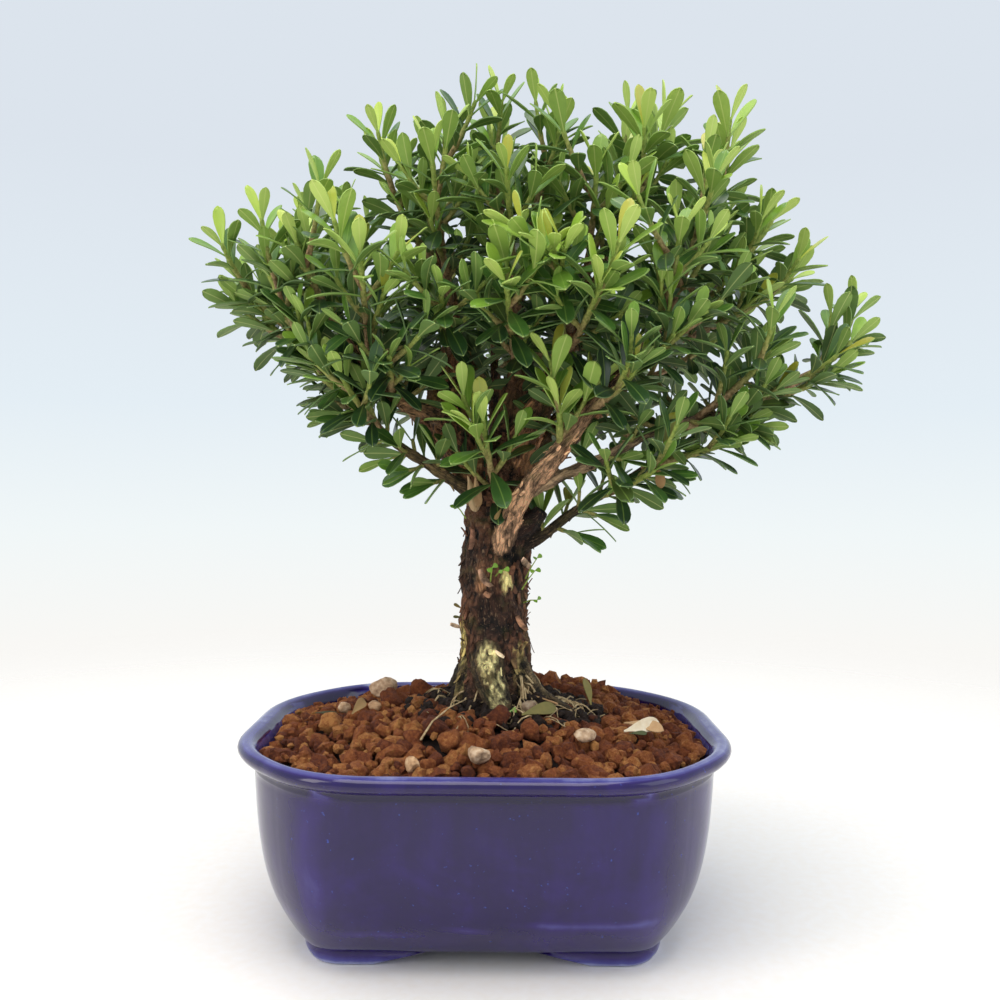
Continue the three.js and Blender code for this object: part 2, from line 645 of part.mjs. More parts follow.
// The top of the bed is a grid of uneven points, a crumb to each, on a block that is deep enough to
// be trimmed to the inside of the pot.
function crumbBlock() {
  const columns = Math.round((2 * RIM_HALF_X) / CRUMB_SPACING);
  const rows = Math.round((2 * RIM_HALF_Y) / CRUMB_SPACING);
  const block = new THREE.BoxGeometry(2 * RIM_HALF_X, 2 * RIM_HALF_Y, 2, columns, rows, 1);
  const place = block.getAttribute("position");
  for (let i = 0; i < place.count; i++) {
    const x = place.getX(i);
    const y = place.getY(i);
    if (place.getZ(i) < 0) {
      place.setZ(i, 0);
      continue;
    }
    const [column, row] = [Math.round(x / CRUMB_SPACING), Math.round(y / CRUMB_SPACING)];
    const high = (column + row) % 2 === 0 ? 0.5 : -0.5;
    const relief = CRUMB_RELIEF * (high + 0.7 * (draw(column, row) - 0.5));
    place.setX(i, x + CRUMB_SPACING * 0.5 * (draw(column, row + 40) - 0.5));
    place.setY(i, y + CRUMB_SPACING * 0.5 * (draw(column, row + 80) - 0.5));
    place.setZ(i, bedHeight(x, y) + relief);
  }
  return solidFrom(block);
}

// The inside of the pot, a gap away from its wall and floor, and the space above it.
function makeInside() {
  const wall = INNER_WALL.map(([inset, z]) => [inset + GAP, z]).toReversed();
  return planBody([
    [null, FLOOR_TOP + GAP], [wall[0][0], FLOOR_TOP + GAP], ...wall.slice(1),
    [INNER_WALL[0][0] + GAP, 2 * SOIL_CREST], [null, 2 * SOIL_CREST],
  ]);
}

function makeSoil() {
  const half = SCREEN_SIDE / 2 + GAP;
  const pocketTop = FLOOR_TOP + SCREEN_THICKNESS + 2 * GAP;
  const pocket = (x) => blockFrom([x - half, -half, 0], [x + half, half, pocketTop]);
  const heap = joined([crumbBlock(), ...growGrains()]).intersect(makeInside());
  const bed = heap.subtract(pocket(-DRAIN_X)).subtract(pocket(DRAIN_X)).subtract(woodSkin);
  return largestBody(bed);
}

// Loose things on the bed
// Lowers a solid until it would meet the soil, and leaves it a small gap above.
function settle(solid, ground) {
  const start = 30;
  const step = 0.25;
  let drop = 0;
  while (drop < start && solid.translate([0, 0, start - drop - step]).intersect(ground).isEmpty()) {
    drop += step;
  }
  return solid.translate([0, 0, start - drop + GAP - 0.1]);
}

function pebble(x, y, size, row) {
  const stone = new THREE.IcosahedronGeometry(1, 0);
  stone.scale(size[0] / 2, size[1] / 2, size[2] / 2).rotateZ(3 * draw(row, 11));
  return solidFrom(stone.translate(x, y, bedHeight(x, y)));
}

function fallenLeaf(x, y, heading, size) {
  const turn = new THREE.Matrix4().makeRotationZ(heading);
  turn.setPosition(x, y, bedHeight(x, y) + 2);
  return bladeSolid({ frame: turn, length: LEAF_LENGTH * size, width: LEAF_WIDTH * size }, 0, 0);
}

// The group
function makeMesh(name, solid, colour, roughness) {
  const shape = solid.getMesh();
  const geometry = new THREE.BufferGeometry();
  const corners = new Float32Array(shape.numVert * 3);
  for (let i = 0; i < shape.numVert; i++) {
    corners.set(shape.vertProperties.subarray(i * shape.numProp, i * shape.numProp + 3), i * 3);
  }
  geometry.setAttribute("position", new THREE.BufferAttribute(corners, 3));
  geometry.setIndex(new THREE.BufferAttribute(new Uint32Array(shape.triVerts), 1));
  geometry.computeVertexNormals();
  const finish = { color: colour, roughness, metalness: 0, flatShading: true };
  const mesh = new THREE.Mesh(geometry, new THREE.MeshStandardMaterial(finish));
  mesh.name = name;
  return mesh;
}

const bonsai = new THREE.Group();
const soil = makeSoil();
bonsai.add(makeMesh("pot", makePot(), GLAZE_BLUE, 0.25));
bonsai.add(makeMesh("drain_screen_left", makeScreen(-DRAIN_X), SCREEN_BLACK, 0.7));
bonsai.add(makeMesh("drain_screen_right", makeScreen(DRAIN_X), SCREEN_BLACK, 0.7));
bonsai.add(makeMesh("soil", soil, SOIL_BROWN, 0.95));
bonsai.add(makeMesh("trunk_and_boughs", makeWood(0), BARK_BROWN, 0.9));
for (const [name, solid] of growCrown()) {
  bonsai.add(makeMesh(name, solid, LEAF_GREEN, 0.45));
}

const loose = [
  ["pebble_back_left", pebble(-31, 10, [9, 7, 6], 1), PEBBLE_GREY],
  ["pebble_right", pebble(26, -32, [6, 4.4, 3.6], 2), PEBBLE_GREY],
  ["pebble_front", pebble(-1, -46, [8, 5, 4], 3), PEBBLE_GREY],
  ["fallen_leaf_centre", fallenLeaf(10, -22, 0.55, 0.85), FALLEN_OLIVE],
  ["dried_leaf_right", fallenLeaf(36, -26, 0.5, 1), DRIED_TAN],
];
let ground = soil.add(woodSkin);
for (const [name, solid, colour] of loose) {
  const seated = settle(solid, ground);
  ground = ground.add(seated);
  bonsai.add(makeMesh(name, seated, colour, 0.8));
}

const box = new THREE.Box3().setFromObject(bonsai);
const middle = box.getCenter(new THREE.Vector3());
bonsai.position.set(-middle.x, -middle.y, -box.min.z);

export default bonsai;
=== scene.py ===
# %% [markdown]
# # A harland boxwood bonsai in a glazed pot
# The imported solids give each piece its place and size. This file dresses them: it replaces the faceted
# wood, sprays, soil and pot by finer pieces that keep their forms, and gives everything its finish.

# %% Load the frame and set the units
import math
import random
import bpy
import bmesh
import numpy as np
from mathutils import Matrix, Vector, noise


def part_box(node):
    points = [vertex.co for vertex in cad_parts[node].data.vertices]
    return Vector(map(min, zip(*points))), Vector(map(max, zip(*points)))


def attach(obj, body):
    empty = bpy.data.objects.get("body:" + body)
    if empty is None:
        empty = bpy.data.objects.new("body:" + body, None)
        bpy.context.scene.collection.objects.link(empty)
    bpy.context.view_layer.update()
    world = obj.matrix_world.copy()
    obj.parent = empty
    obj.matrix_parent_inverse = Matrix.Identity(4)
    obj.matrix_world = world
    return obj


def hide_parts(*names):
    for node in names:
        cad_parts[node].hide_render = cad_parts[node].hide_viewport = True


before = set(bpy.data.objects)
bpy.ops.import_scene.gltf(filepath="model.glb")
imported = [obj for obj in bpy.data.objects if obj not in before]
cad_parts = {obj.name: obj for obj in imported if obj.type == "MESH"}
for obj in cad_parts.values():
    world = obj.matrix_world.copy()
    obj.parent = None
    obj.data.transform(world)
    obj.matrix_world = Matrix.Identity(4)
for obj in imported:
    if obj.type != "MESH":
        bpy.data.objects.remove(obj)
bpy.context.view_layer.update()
MM = 0.001
pot_low, pot_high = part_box("pot")
POT_MIDDLE = Vector(((pot_low.x + pot_high.x) / 2, (pot_low.y + pot_high.y) / 2, pot_low.z))
TO_ROW = Matrix.Translation(POT_MIDDLE) @ Matrix.Scale(MM, 4)
print("nodes:", len(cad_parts), "pot middle:", [round(v, 4) for v in POT_MIDDLE])

# %% [markdown]
# ## Camera, floor and light
# The photograph looks almost level at the tree from about 30 cm with a normal lens. A studio shot has no
# visible wall: the floor fades into an even pale backdrop. Here the floor is a disc that catches the soft
# shadow of the pot and grows clear towards its edge, and the world behind it has the backdrop's colours.

# %% Camera
EYE = (3.6, -290.0, 120.4)  # in mm from the middle of the pot's base
PITCH_DOWN = 0.0111
ROLL = 0.0082
camera_data = bpy.data.cameras.new("camera")
camera_data.lens = 36
camera_data.sensor_width = 36
camera_data.clip_start = 0.01
camera = bpy.data.objects.new("camera", camera_data)
turn = Matrix.Rotation(math.pi / 2 - PITCH_DOWN, 4, "X") @ Matrix.Rotation(ROLL, 4, "Z")
camera.matrix_world = Matrix.Translation(TO_ROW @ Vector(EYE)) @ turn
bpy.context.collection.objects.link(camera)
bpy.context.scene.camera = camera
print("camera at", [round(v, 3) for v in camera.matrix_world.translation])


# %% Helpers for materials
def linear(hexcode):
    """The linear colour of an sRGB hex value such as "#7a3c1e"."""
    parts = [int(hexcode[i:i + 2], 16) / 255 for i in (1, 3, 5)]
    return tuple(c / 12.92 if c <= 0.04045 else ((c + 0.055) / 1.055) ** 2.4 for c in parts) + (1.0,)


def add(tree, kind, inputs=None, stops=None, **settings):
    """Adds a node. An input is a value or another node's output; stops are a ramp's (place, colour)."""
    node = tree.nodes.new(kind)
    for name, value in settings.items():
        setattr(node, name, value)
    for name, value in (inputs or {}).items():
        if isinstance(value, bpy.types.NodeSocket):
            tree.links.new(value, node.inputs[name])
        else:
            node.inputs[name].default_value = value
    if stops:
        marks = node.color_ramp.elements
        for place, _ in stops[2:]:
            marks.new(place)
        for mark, (place, colour) in zip(marks, stops):
            mark.position = place
            mark.color = linear(colour) if isinstance(colour, str) else (colour, colour, colour, 1.0)
    return node


def start_material(name, **sockets):
    """A new material with its Principled shader, whose even values are set on its own sockets."""
    material = bpy.data.materials.new(name)
    material.use_nodes = True
    tree = material.node_tree
    shader = tree.nodes["Principled BSDF"]
    for socket, value in sockets.items():
        shader.inputs[socket.replace("_", " ")].default_value = value
    return material, tree, shader


def dress(tree, shader, colour, height=None, depth_mm=0.0, strength=1.0):
    """Gives a shader its colour, and a height pattern as relief of a real depth in mm."""
    tree.links.new(colour, shader.inputs["Base Color"])
    if height is not None:
        sizes = {"Height": height, "Strength": strength, "Distance": depth_mm * MM}
        relief = add(tree, "ShaderNodeBump", sizes)
        tree.links.new(relief.outputs["Normal"], shader.inputs["Normal"])


def per_mm(size_mm):
    """The scale of a pattern whose features are this many millimetres wide."""
    return 1 / (size_mm * MM)


SUM = {"operation": "MULTIPLY_ADD"}
COLOURS = {"data_type": "RGBA"}


def grainy_material(name, roughness, grain_mm, detail, stops, relief_mm):
    """A finish whose colour and relief both follow one fine grain."""
    material, tree, shader = start_material(name, Roughness=roughness)
    where = add(tree, "ShaderNodeTexCoord").outputs["Object"]
    grain = add(tree, "ShaderNodeTexNoise", {"Vector": where, "Scale": per_mm(grain_mm), "Detail": detail})
    tone = add(tree, "ShaderNodeValToRGB", {"Fac": grain.outputs["Fac"]}, stops=stops)
    dress(tree, shader, tone.outputs["Color"], grain.outputs["Fac"], relief_mm)
    return material


# %% Helpers for meshes
def to_mesh(bm, name):
    mesh = bpy.data.meshes.new(name)
    bm.to_mesh(mesh)
    bm.free()
    return mesh


def place_object(name, data):
    thing = bpy.data.objects.new(name, data)
    bpy.context.collection.objects.link(thing)
    return thing


def finish_piece(form, name, materials, replaced=()):
    """Turns a bmesh or mesh in mm round the pot into an object in the row frame that rides on the root."""
    mesh = to_mesh(form, name) if isinstance(form, bmesh.types.BMesh) else form
    mesh.transform(TO_ROW)
    for material in materials:
        mesh.materials.append(material)
    piece = place_object(name, mesh)
    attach(piece, "root")
    if replaced:
        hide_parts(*replaced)
    print(name, len(mesh.polygons), "faces")
    return piece


def start_piece(layer_name):
    """A new bmesh, with a layer of four values at each point."""
    bm = bmesh.new()
    return bm, bm.verts.layers.float_color.new(layer_name)


def added(parts, first):
    """The vertices or faces that a bmesh has gained since it held that many."""
    parts.ensure_lookup_table()
    return parts[first:]


def smooth_outward(bm):
    """Turns every face outward and shades it smooth."""
    bmesh.ops.recalc_face_normals(bm, faces=bm.faces)
    for face in bm.faces:
        face.smooth = True


def draw(row, column):
    """A repeatable draw from 0 to 1 for any pair of whole numbers."""
    wave = math.sin(row * 12.9898 + column * 78.233) * 43758.5453
    return wave - math.floor(wave)


def mix(a, b, share):
    return a + (b - a) * share


def smoothstep(low, high, value):
    share = min(1.0, max(0.0, (value - low) / (high - low)))
    return share * share * (3 - 2 * share)


# %% Floor
FLOOR_RADIUS = 900
FADE_START, FADE_END = 0.1, 0.62  # metres from the pot
floor_bm = bmesh.new()
bmesh.ops.create_circle(floor_bm, cap_ends=True, segments=96, radius=FLOOR_RADIUS)
floor_data = to_mesh(floor_bm, "floor")
floor_data.transform(TO_ROW)
floor = place_object("floor", floor_data)
floor_paint, tree, shader = start_material("matt_painted_board", Roughness=0.75)
where = add(tree, "ShaderNodeTexCoord").outputs["Object"]
from_pot = add(tree, "ShaderNodeVectorMath", {0: where, 1: POT_MIDDLE}, operation="DISTANCE")
fade = add(tree, "ShaderNodeMapRange", {"Value": from_pot.outputs["Value"], "From Min": FADE_START,
                                        "From Max": FADE_END, "To Min": 1.0, "To Max": 0.0},
           interpolation_type="SMOOTHSTEP")
tree.links.new(fade.outputs["Result"], shader.inputs["Alpha"])
grain = add(tree, "ShaderNodeTexNoise", {"Vector": where, "Scale": per_mm(3), "Detail": 3.0})
tone = add(tree, "ShaderNodeValToRGB", {"Fac": grain.outputs["Fac"]},
           stops=[(0.3, "#faf4ec"), (0.7, "#fcf8f3")])
dress(tree, shader, tone.outputs["Color"])
floor_data.materials.append(floor_paint)
print("floor radius", FLOOR_RADIUS, "mm")

# %% World and lights
world = bpy.data.worlds.new("backdrop")
bpy.context.scene.world = world
world.use_nodes = True
tree = world.node_tree
direction = add(tree, "ShaderNodeTexCoord")
parts = add(tree, "ShaderNodeSeparateXYZ", {"Vector": direction.outputs["Generated"]})
rise = add(tree, "ShaderNodeMapRange", {"Value": parts.outputs["Z"], "From Min": -0.5, "From Max": 0.5})
sky = add(tree, "ShaderNodeValToRGB", {"Fac": rise.outputs["Result"]}, stops=[
    (0.1, "#fdf7f1"), (0.36, "#f9f8f5"), (0.46, "#f1f7f8"), (0.58, "#e4eef5"), (0.8, "#dce4ed"),
    (1.0, "#dce4ed")])
backdrop = tree.nodes["Background"]
tree.links.new(sky.outputs["Color"], backdrop.inputs["Color"])
backdrop.inputs["Strength"].default_value = 1.0


def softbox(name, spot, aim, size, power, colour):
    """A rectangular studio light at a place in mm, aimed at a point on the tree."""
    data = bpy.data.lights.new(name, "AREA")
    data.shape = "RECTANGLE"
    data.size = size[0] * MM
    data.size_y = size[1] * MM
    data.energy = power
    data.color = linear(colour)[:3]
    place = TO_ROW @ Vector(spot)
    turned = (place - TO_ROW @ Vector(aim)).to_track_quat("Z", "Y").to_matrix().to_4x4()
    place_object(name, data).matrix_world = Matrix.Translation(place) @ turned


softbox("top_softbox", (-60, -150, 900), (0, 0, 120), (700, 700), 5.2, "#fffaf4")
softbox("left_softbox", (-700, -380, 420), (0, 0, 110), (240, 620), 2.0, "#fff6ee")
softbox("right_softbox", (720, -300, 380), (0, 0, 110), (420, 620), 1.2, "#f7faff")
bpy.context.scene.view_settings.view_transform = "Standard"
bpy.context.scene.view_settings.look = "None"

# %% [markdown]
# ## The pot
# The real pot is slip-cast stoneware under a thick cobalt glaze. Its plan is a rectangle with wide cut
# corners, and every level of the wall repeats that plan a little smaller or larger. So one closed ring of
# points is drawn for each level and the rings are bridged. The arches between the feet are only a rise of
# the lowest rings, which gives the soft edges that glaze leaves on a cast foot.

# %% Pot plan
RIM_HALF = (67.4, 60.0)  # half the width and depth at the widest line of the rim
CORNER = (41.5, 29.0)  # where the front and side faces end
LEAST_CHAMFER = 6.0
CORNER_REACH = 17.0
MOST_OF_SIDE = 0.45  # the share of a side that one rounded corner may take
ARC_POINTS = 9
FACE_POINTS = 9


def corner_reach(before, corner, after):
    """How far a rounded corner reaches along its two sides."""
    shorter_side = min((corner - before).length, (corner - after).length)
    return min(CORNER_REACH, MOST_OF_SIDE * shorter_side)


def plan_ring(inset):
    """Points of the pot's plan, a distance inside its widest line, the same number at every level."""
    half_x, half_y = RIM_HALF[0] - inset, RIM_HALF[1] - inset
    corner_x, corner_y = min(CORNER[0], half_x - LEAST_CHAMFER), min(CORNER[1], half_y - LEAST_CHAMFER)
    quarter = [Vector((half_x, corner_y)), Vector((corner_x, half_y))]
    half = quarter + [Vector((-p.x, p.y)) for p in reversed(quarter)]
    corners = half + [-p for p in half]
    points = []
    for i, corner in enumerate(corners):
        before, after, beyond = [corners[(i + k) % len(corners)] for k in (-1, 1, 2)]
        reach = corner_reach(before, corner, after)
        start = corner + (before - corner).normalized() * reach
        end = corner + (after - corner).normalized() * reach
        next_start = after + (corner - after).normalized() * corner_reach(corner, after, beyond)
        for k in range(ARC_POINTS):
            share = k / (ARC_POINTS - 1)
            points.append(start.lerp(corner, share).lerp(corner.lerp(end, share), share))
        points += [end.lerp(next_start, k / FACE_POINTS) for k in range(1, FACE_POINTS)]
    return points


def toward_chamfer(x, y):
    """How far out a point lies along the normal of the cut corners."""
    return 0.785 * abs(x) + 0.619 * abs(y)


def smooth_profile(profile, per_span):
    """A finer list of (inset, height) through the given ones."""
    finer = []
    for i, (here, there) in enumerate(zip(profile, profile[1:])):
        before, after = profile[max(i - 1, 0)], profile[min(i + 2, len(profile) - 1)]
        for k in range(per_span):
            s = k / per_span
            finer.append([0.5 * (2 * b + (c - a) * s + (2 * a - 5 * b + 4 * c - d) * s * s
                                 + (3 * b - a - 3 * c + d) * s ** 3)
                          for a, b, c, d in zip(before, here, there, after)])
    return finer + [list(profile[-1])]


def stack_rings(bm, levels):
    """Bridges a ring of the plan at each (inset, height) level; height may be a function of the plan."""
    rings = []
    for inset, z in levels:
        outline = plan_ring(inset)
        made = bmesh.ops.create_circle(bm, segments=len(outline), radius=1)["verts"]
        for vert, spot in zip(made, outline):
            vert.co = (spot.x, spot.y, z(spot.x, spot.y, inset) if callable(z) else z)
        rings.append(made)
    for lower, upper in zip(rings, rings[1:]):
        edges = {edge for vert in lower + upper for edge in vert.link_edges
                 if edge.other_vert(vert) in set(lower if vert in lower else upper)}
        bmesh.ops.bridge_loops(bm, edges=list(edges))
    return rings


def close_ring(bm, ring, z):
    """Closes an end ring with a fan to a point in the middle."""
    edges = [edge for edge in bm.edges if edge.is_boundary and all(v in set(ring) for v in edge.verts)]
    face = bmesh.ops.contextual_create(bm, geom=edges)["faces"]
    made = bmesh.ops.poke(bm, faces=face)
    for vert in made["verts"]:
        vert.co.z = z


print("points in the plan:", len(plan_ring(0)))

# %% Pot body and feet
BASE_UNDERSIDE = 3.2
FLOOR_TOP = 8.0
FOOT_GAP = (23.0, 14.0)  # half the opening between two feet, at the front and at the sides
INNER_WALL = [(7.2, 47), (10.4, 36), (13, 20), (16.5, 12.6), (22, FLOOR_TOP)]


def foot_rise(x, y, inset):
    """The height of the pot's lowest line: nothing under a foot, and a cloud-shaped arch between two."""
    on_front = abs(y) >= RIM_HALF[1] - inset - 0.6
    on_side = abs(x) >= RIM_HALF[0] - inset - 0.6
    into_gap = FOOT_GAP[0] - abs(x) if on_front else FOOT_GAP[1] - abs(y) if on_side else 0.0
    lip = 2.1 * smoothstep(0, 4.5, into_gap)
    return lip + (BASE_UNDERSIDE + 0.6 - 2.1) * smoothstep(5.5, 9.5, into_gap)


def foot_line(least):
    return lambda x, y, inset: max(least, foot_rise(x, y, inset) + min(least, 0.7))


underside = [(30.0, BASE_UNDERSIDE + 0.9), (28.4, foot_line(BASE_UNDERSIDE)), (27.8, foot_line(1.0)),
             (26.9, foot_line(0.0)), (21.4, foot_line(0.0)), (20.5, foot_line(0.5)), (20.2, foot_line(1.4)),
             (20.3, foot_line(2.6)), (20.4, foot_line(3.4))]
wall = smooth_profile([(20.3, 4.15), (18.2, 4.9), (14.6, 8.6), (10.6, 14.6), (7.9, 22), (6.2, 31),
                       (5.35, 40), (5.0, 45.6)], 4)
ledge = [(4.75, 46.2), (4.6, 46.5), (4.75, 46.9), (4.5, 47.6)]
roll = smooth_profile([(4.3, 48.2), (1.7, 48.9), (0.1, 50.4), (0.3, 51.9), (1.9, 52.9), (4.0, 52.7),
                       (5.9, 51.2), (6.9, 49)], 4)
inner = smooth_profile(INNER_WALL, 4)
pot_bm = bmesh.new()
pot_rings = stack_rings(pot_bm, underside + wall + ledge + roll + inner)
close_ring(pot_bm, pot_rings[0], BASE_UNDERSIDE)
close_ring(pot_bm, pot_rings[-1], FLOOR_TOP)
smooth_outward(pot_bm)
print("pot rings:", len(pot_rings))


# %% Drain holes
def cut(piece, cutters):
    """Cuts closed shapes out of a piece and keeps the result as its mesh."""
    for cutter in cutters:
        step = piece.modifiers.new("cut", "BOOLEAN")
        step.operation = "DIFFERENCE"
        step.solver = "EXACT"
        step.object = cutter
    evaluated = piece.evaluated_get(bpy.context.evaluated_depsgraph_get())
    result = bpy.data.meshes.new_from_object(evaluated)
    piece.modifiers.clear()
    old = piece.data
    piece.data = result
    bpy.data.meshes.remove(old)
    for cutter in cutters:
        bpy.data.meshes.remove(cutter.data)


HOLE_RADIUS = 6.0
HOLE_PLACES = (-22, 22)  # mm to the left and right of the middle


def drill(x):
    """A cutter for one drain hole."""
    bm = bmesh.new()
    bmesh.ops.create_cone(bm, cap_ends=True, segments=40, radius1=HOLE_RADIUS, radius2=HOLE_RADIUS,
                          depth=3 * FLOOR_TOP, matrix=Matrix.Translation((x, 0, 0)))
    data = to_mesh(bm, "drill")
    data.transform(TO_ROW)
    return place_object("drill", data)


# %% Glaze
# Glazed stoneware: cobalt glaze breaks paler where it runs thin on edges and pools dark in hollows.
# The rim's crest also carries a painted highlight, painted shade darkens the glaze under the rim, and
# the outer wall is darker towards the foot.
glaze, tree, shader = start_material("cobalt_glazed_stoneware", Roughness=0.13, IOR=1.5)
where = add(tree, "ShaderNodeTexCoord").outputs["Object"]
# This attribute holds the glaze's thinness together with the painted highlight and painted shade at the rim.
thin = add(tree, "ShaderNodeAttribute", attribute_name="glaze_thin_and_painted_light")
cloud = add(tree, "ShaderNodeTexNoise", {"Vector": where, "Scale": per_mm(26), "Detail": 4.0,
                                         "Roughness": 0.6, "Distortion": 0.8})
speck = add(tree, "ShaderNodeTexNoise", {"Vector": where, "Scale": per_mm(1.1), "Detail": 2.0})
flow = add(tree, "ShaderNodeMapping", {"Vector": where, "Scale": (1.0, 1.0, 0.22)}).outputs["Vector"]
runs = add(tree, "ShaderNodeTexNoise", {"Vector": flow, "Scale": per_mm(5), "Detail": 3.0})
depth = add(tree, "ShaderNodeMath", {0: cloud.outputs["Fac"], 1: 0.5, 2: thin.outputs["Fac"]}, **SUM)
depth = add(tree, "ShaderNodeMath", {0: runs.outputs["Fac"], 1: 0.22, 2: depth.outputs["Value"]}, **SUM)
body = add(tree, "ShaderNodeValToRGB", {"Fac": depth.outputs["Value"]}, stops=[
    (0.12, "#0e0436"), (0.34, "#1a0947"), (0.52, "#26125f"), (0.78, "#4c4a8c"), (1.0, "#9a9fc4")])
dots = add(tree, "ShaderNodeMapRange", {"Value": speck.outputs["Fac"], "From Min": 0.7, "From Max": 0.78})
colour = add(tree, "ShaderNodeMix", {0: dots.outputs["Result"], 6: body.outputs["Color"],
                                     7: linear("#2c3f93")}, **COLOURS)
dress(tree, shader, colour.outputs[2], cloud.outputs["Fac"], 0.35, 0.5)

# Bare stoneware shows where the feet were wiped clean of glaze to stand in the kiln.
bare_clay = grainy_material("unglazed_fired_stoneware", 0.85, 0.8, 4.0,
                            [(0.3, "#a08a70"), (0.7, "#c9b69c")], 0.15)
print("glaze and bare clay ready")

# %% Assemble the pot
WIPED = 0.35  # mm of each foot that the glaze was wiped from
pot = finish_piece(pot_bm, "glazed_pot", [glaze, bare_clay], ["pot"])
cut(pot, [drill(x) for x in HOLE_PLACES])


def glaze_thinness_and_painted_light(x, y, z):
    """How thin the glaze is at a place in mm: more on corners, rim and feet, and less where it pools. It also
    carries a painted highlight on the rim's crest and painted shade under the rim, and it is lower on the
    outer wall towards the foot.
    """
    edge = max(math.exp(-abs(abs(x) - CORNER[0]) / 1.6) if abs(y) > 40 else 0,
               math.exp(-abs(abs(y) - CORNER[1]) / 1.6) if abs(x) > 44 else 0)
    inside = max(abs(x) / 61.2, abs(y) / 53.8, toward_chamfer(x, y) / 64.5) < 1
    # The narrow band at the rim's crest is partly thin glaze and partly a painted highlight.
    rim = math.exp(-((z - 52.8) / 0.5) ** 2) * 0.45 + (0.42 * smoothstep(44, 49, z) if inside else 0)
    # Under the rim the glaze pools and painted shade darkens it further; the outer wall also gets darker
    # towards the foot.
    painted_rim_shade_and_low_darkening = 0 if inside else 0.4 * math.exp(-((z - 47.4) / 1.1) ** 2) + 0.13 * smoothstep(22, 8, z)
    foot = 0.2 * smoothstep(4.2, 2.0, z) + 0.45 * smoothstep(1.9, 0.9, z)
    drip = 0.28 * math.exp(-((z - 13.2 - 1.6 * math.sin(x / 17)) / 0.45) ** 2)
    return rim - painted_rim_shade_and_low_darkening + foot + drip + 0.25 * edge * smoothstep(3, 14, z) * smoothstep(48, 40, z)


thin_and_painted_light_layer = pot.data.attributes.new("glaze_thin_and_painted_light", "FLOAT", "POINT")
for vert, value in zip(pot.data.vertices, thin_and_painted_light_layer.data):
    value.value = glaze_thinness_and_painted_light(*((vert.co - POT_MIDDLE) / MM))
for polygon in pot.data.polygons:
    low = max(pot.data.vertices[i].co.z for i in polygon.vertices) < POT_MIDDLE.z + WIPED * MM
    polygon.material_index = 1 if low else 0
print("pot faces after the holes:", len(pot.data.polygons))

# %% [markdown]
# ## Trunk, boughs and roots
# The tree grew as one piece of wood, so every limb is a tube along its route and a voxel remesh fuses them
# with soft crotches, as wood heals round a fork. Old boxwood bark is corky and splits into ridges that run
# along the limb. The relief is moved in real depth along the normals, and each point keeps its place in
# the bark's own grain, so that the finish follows each bend.

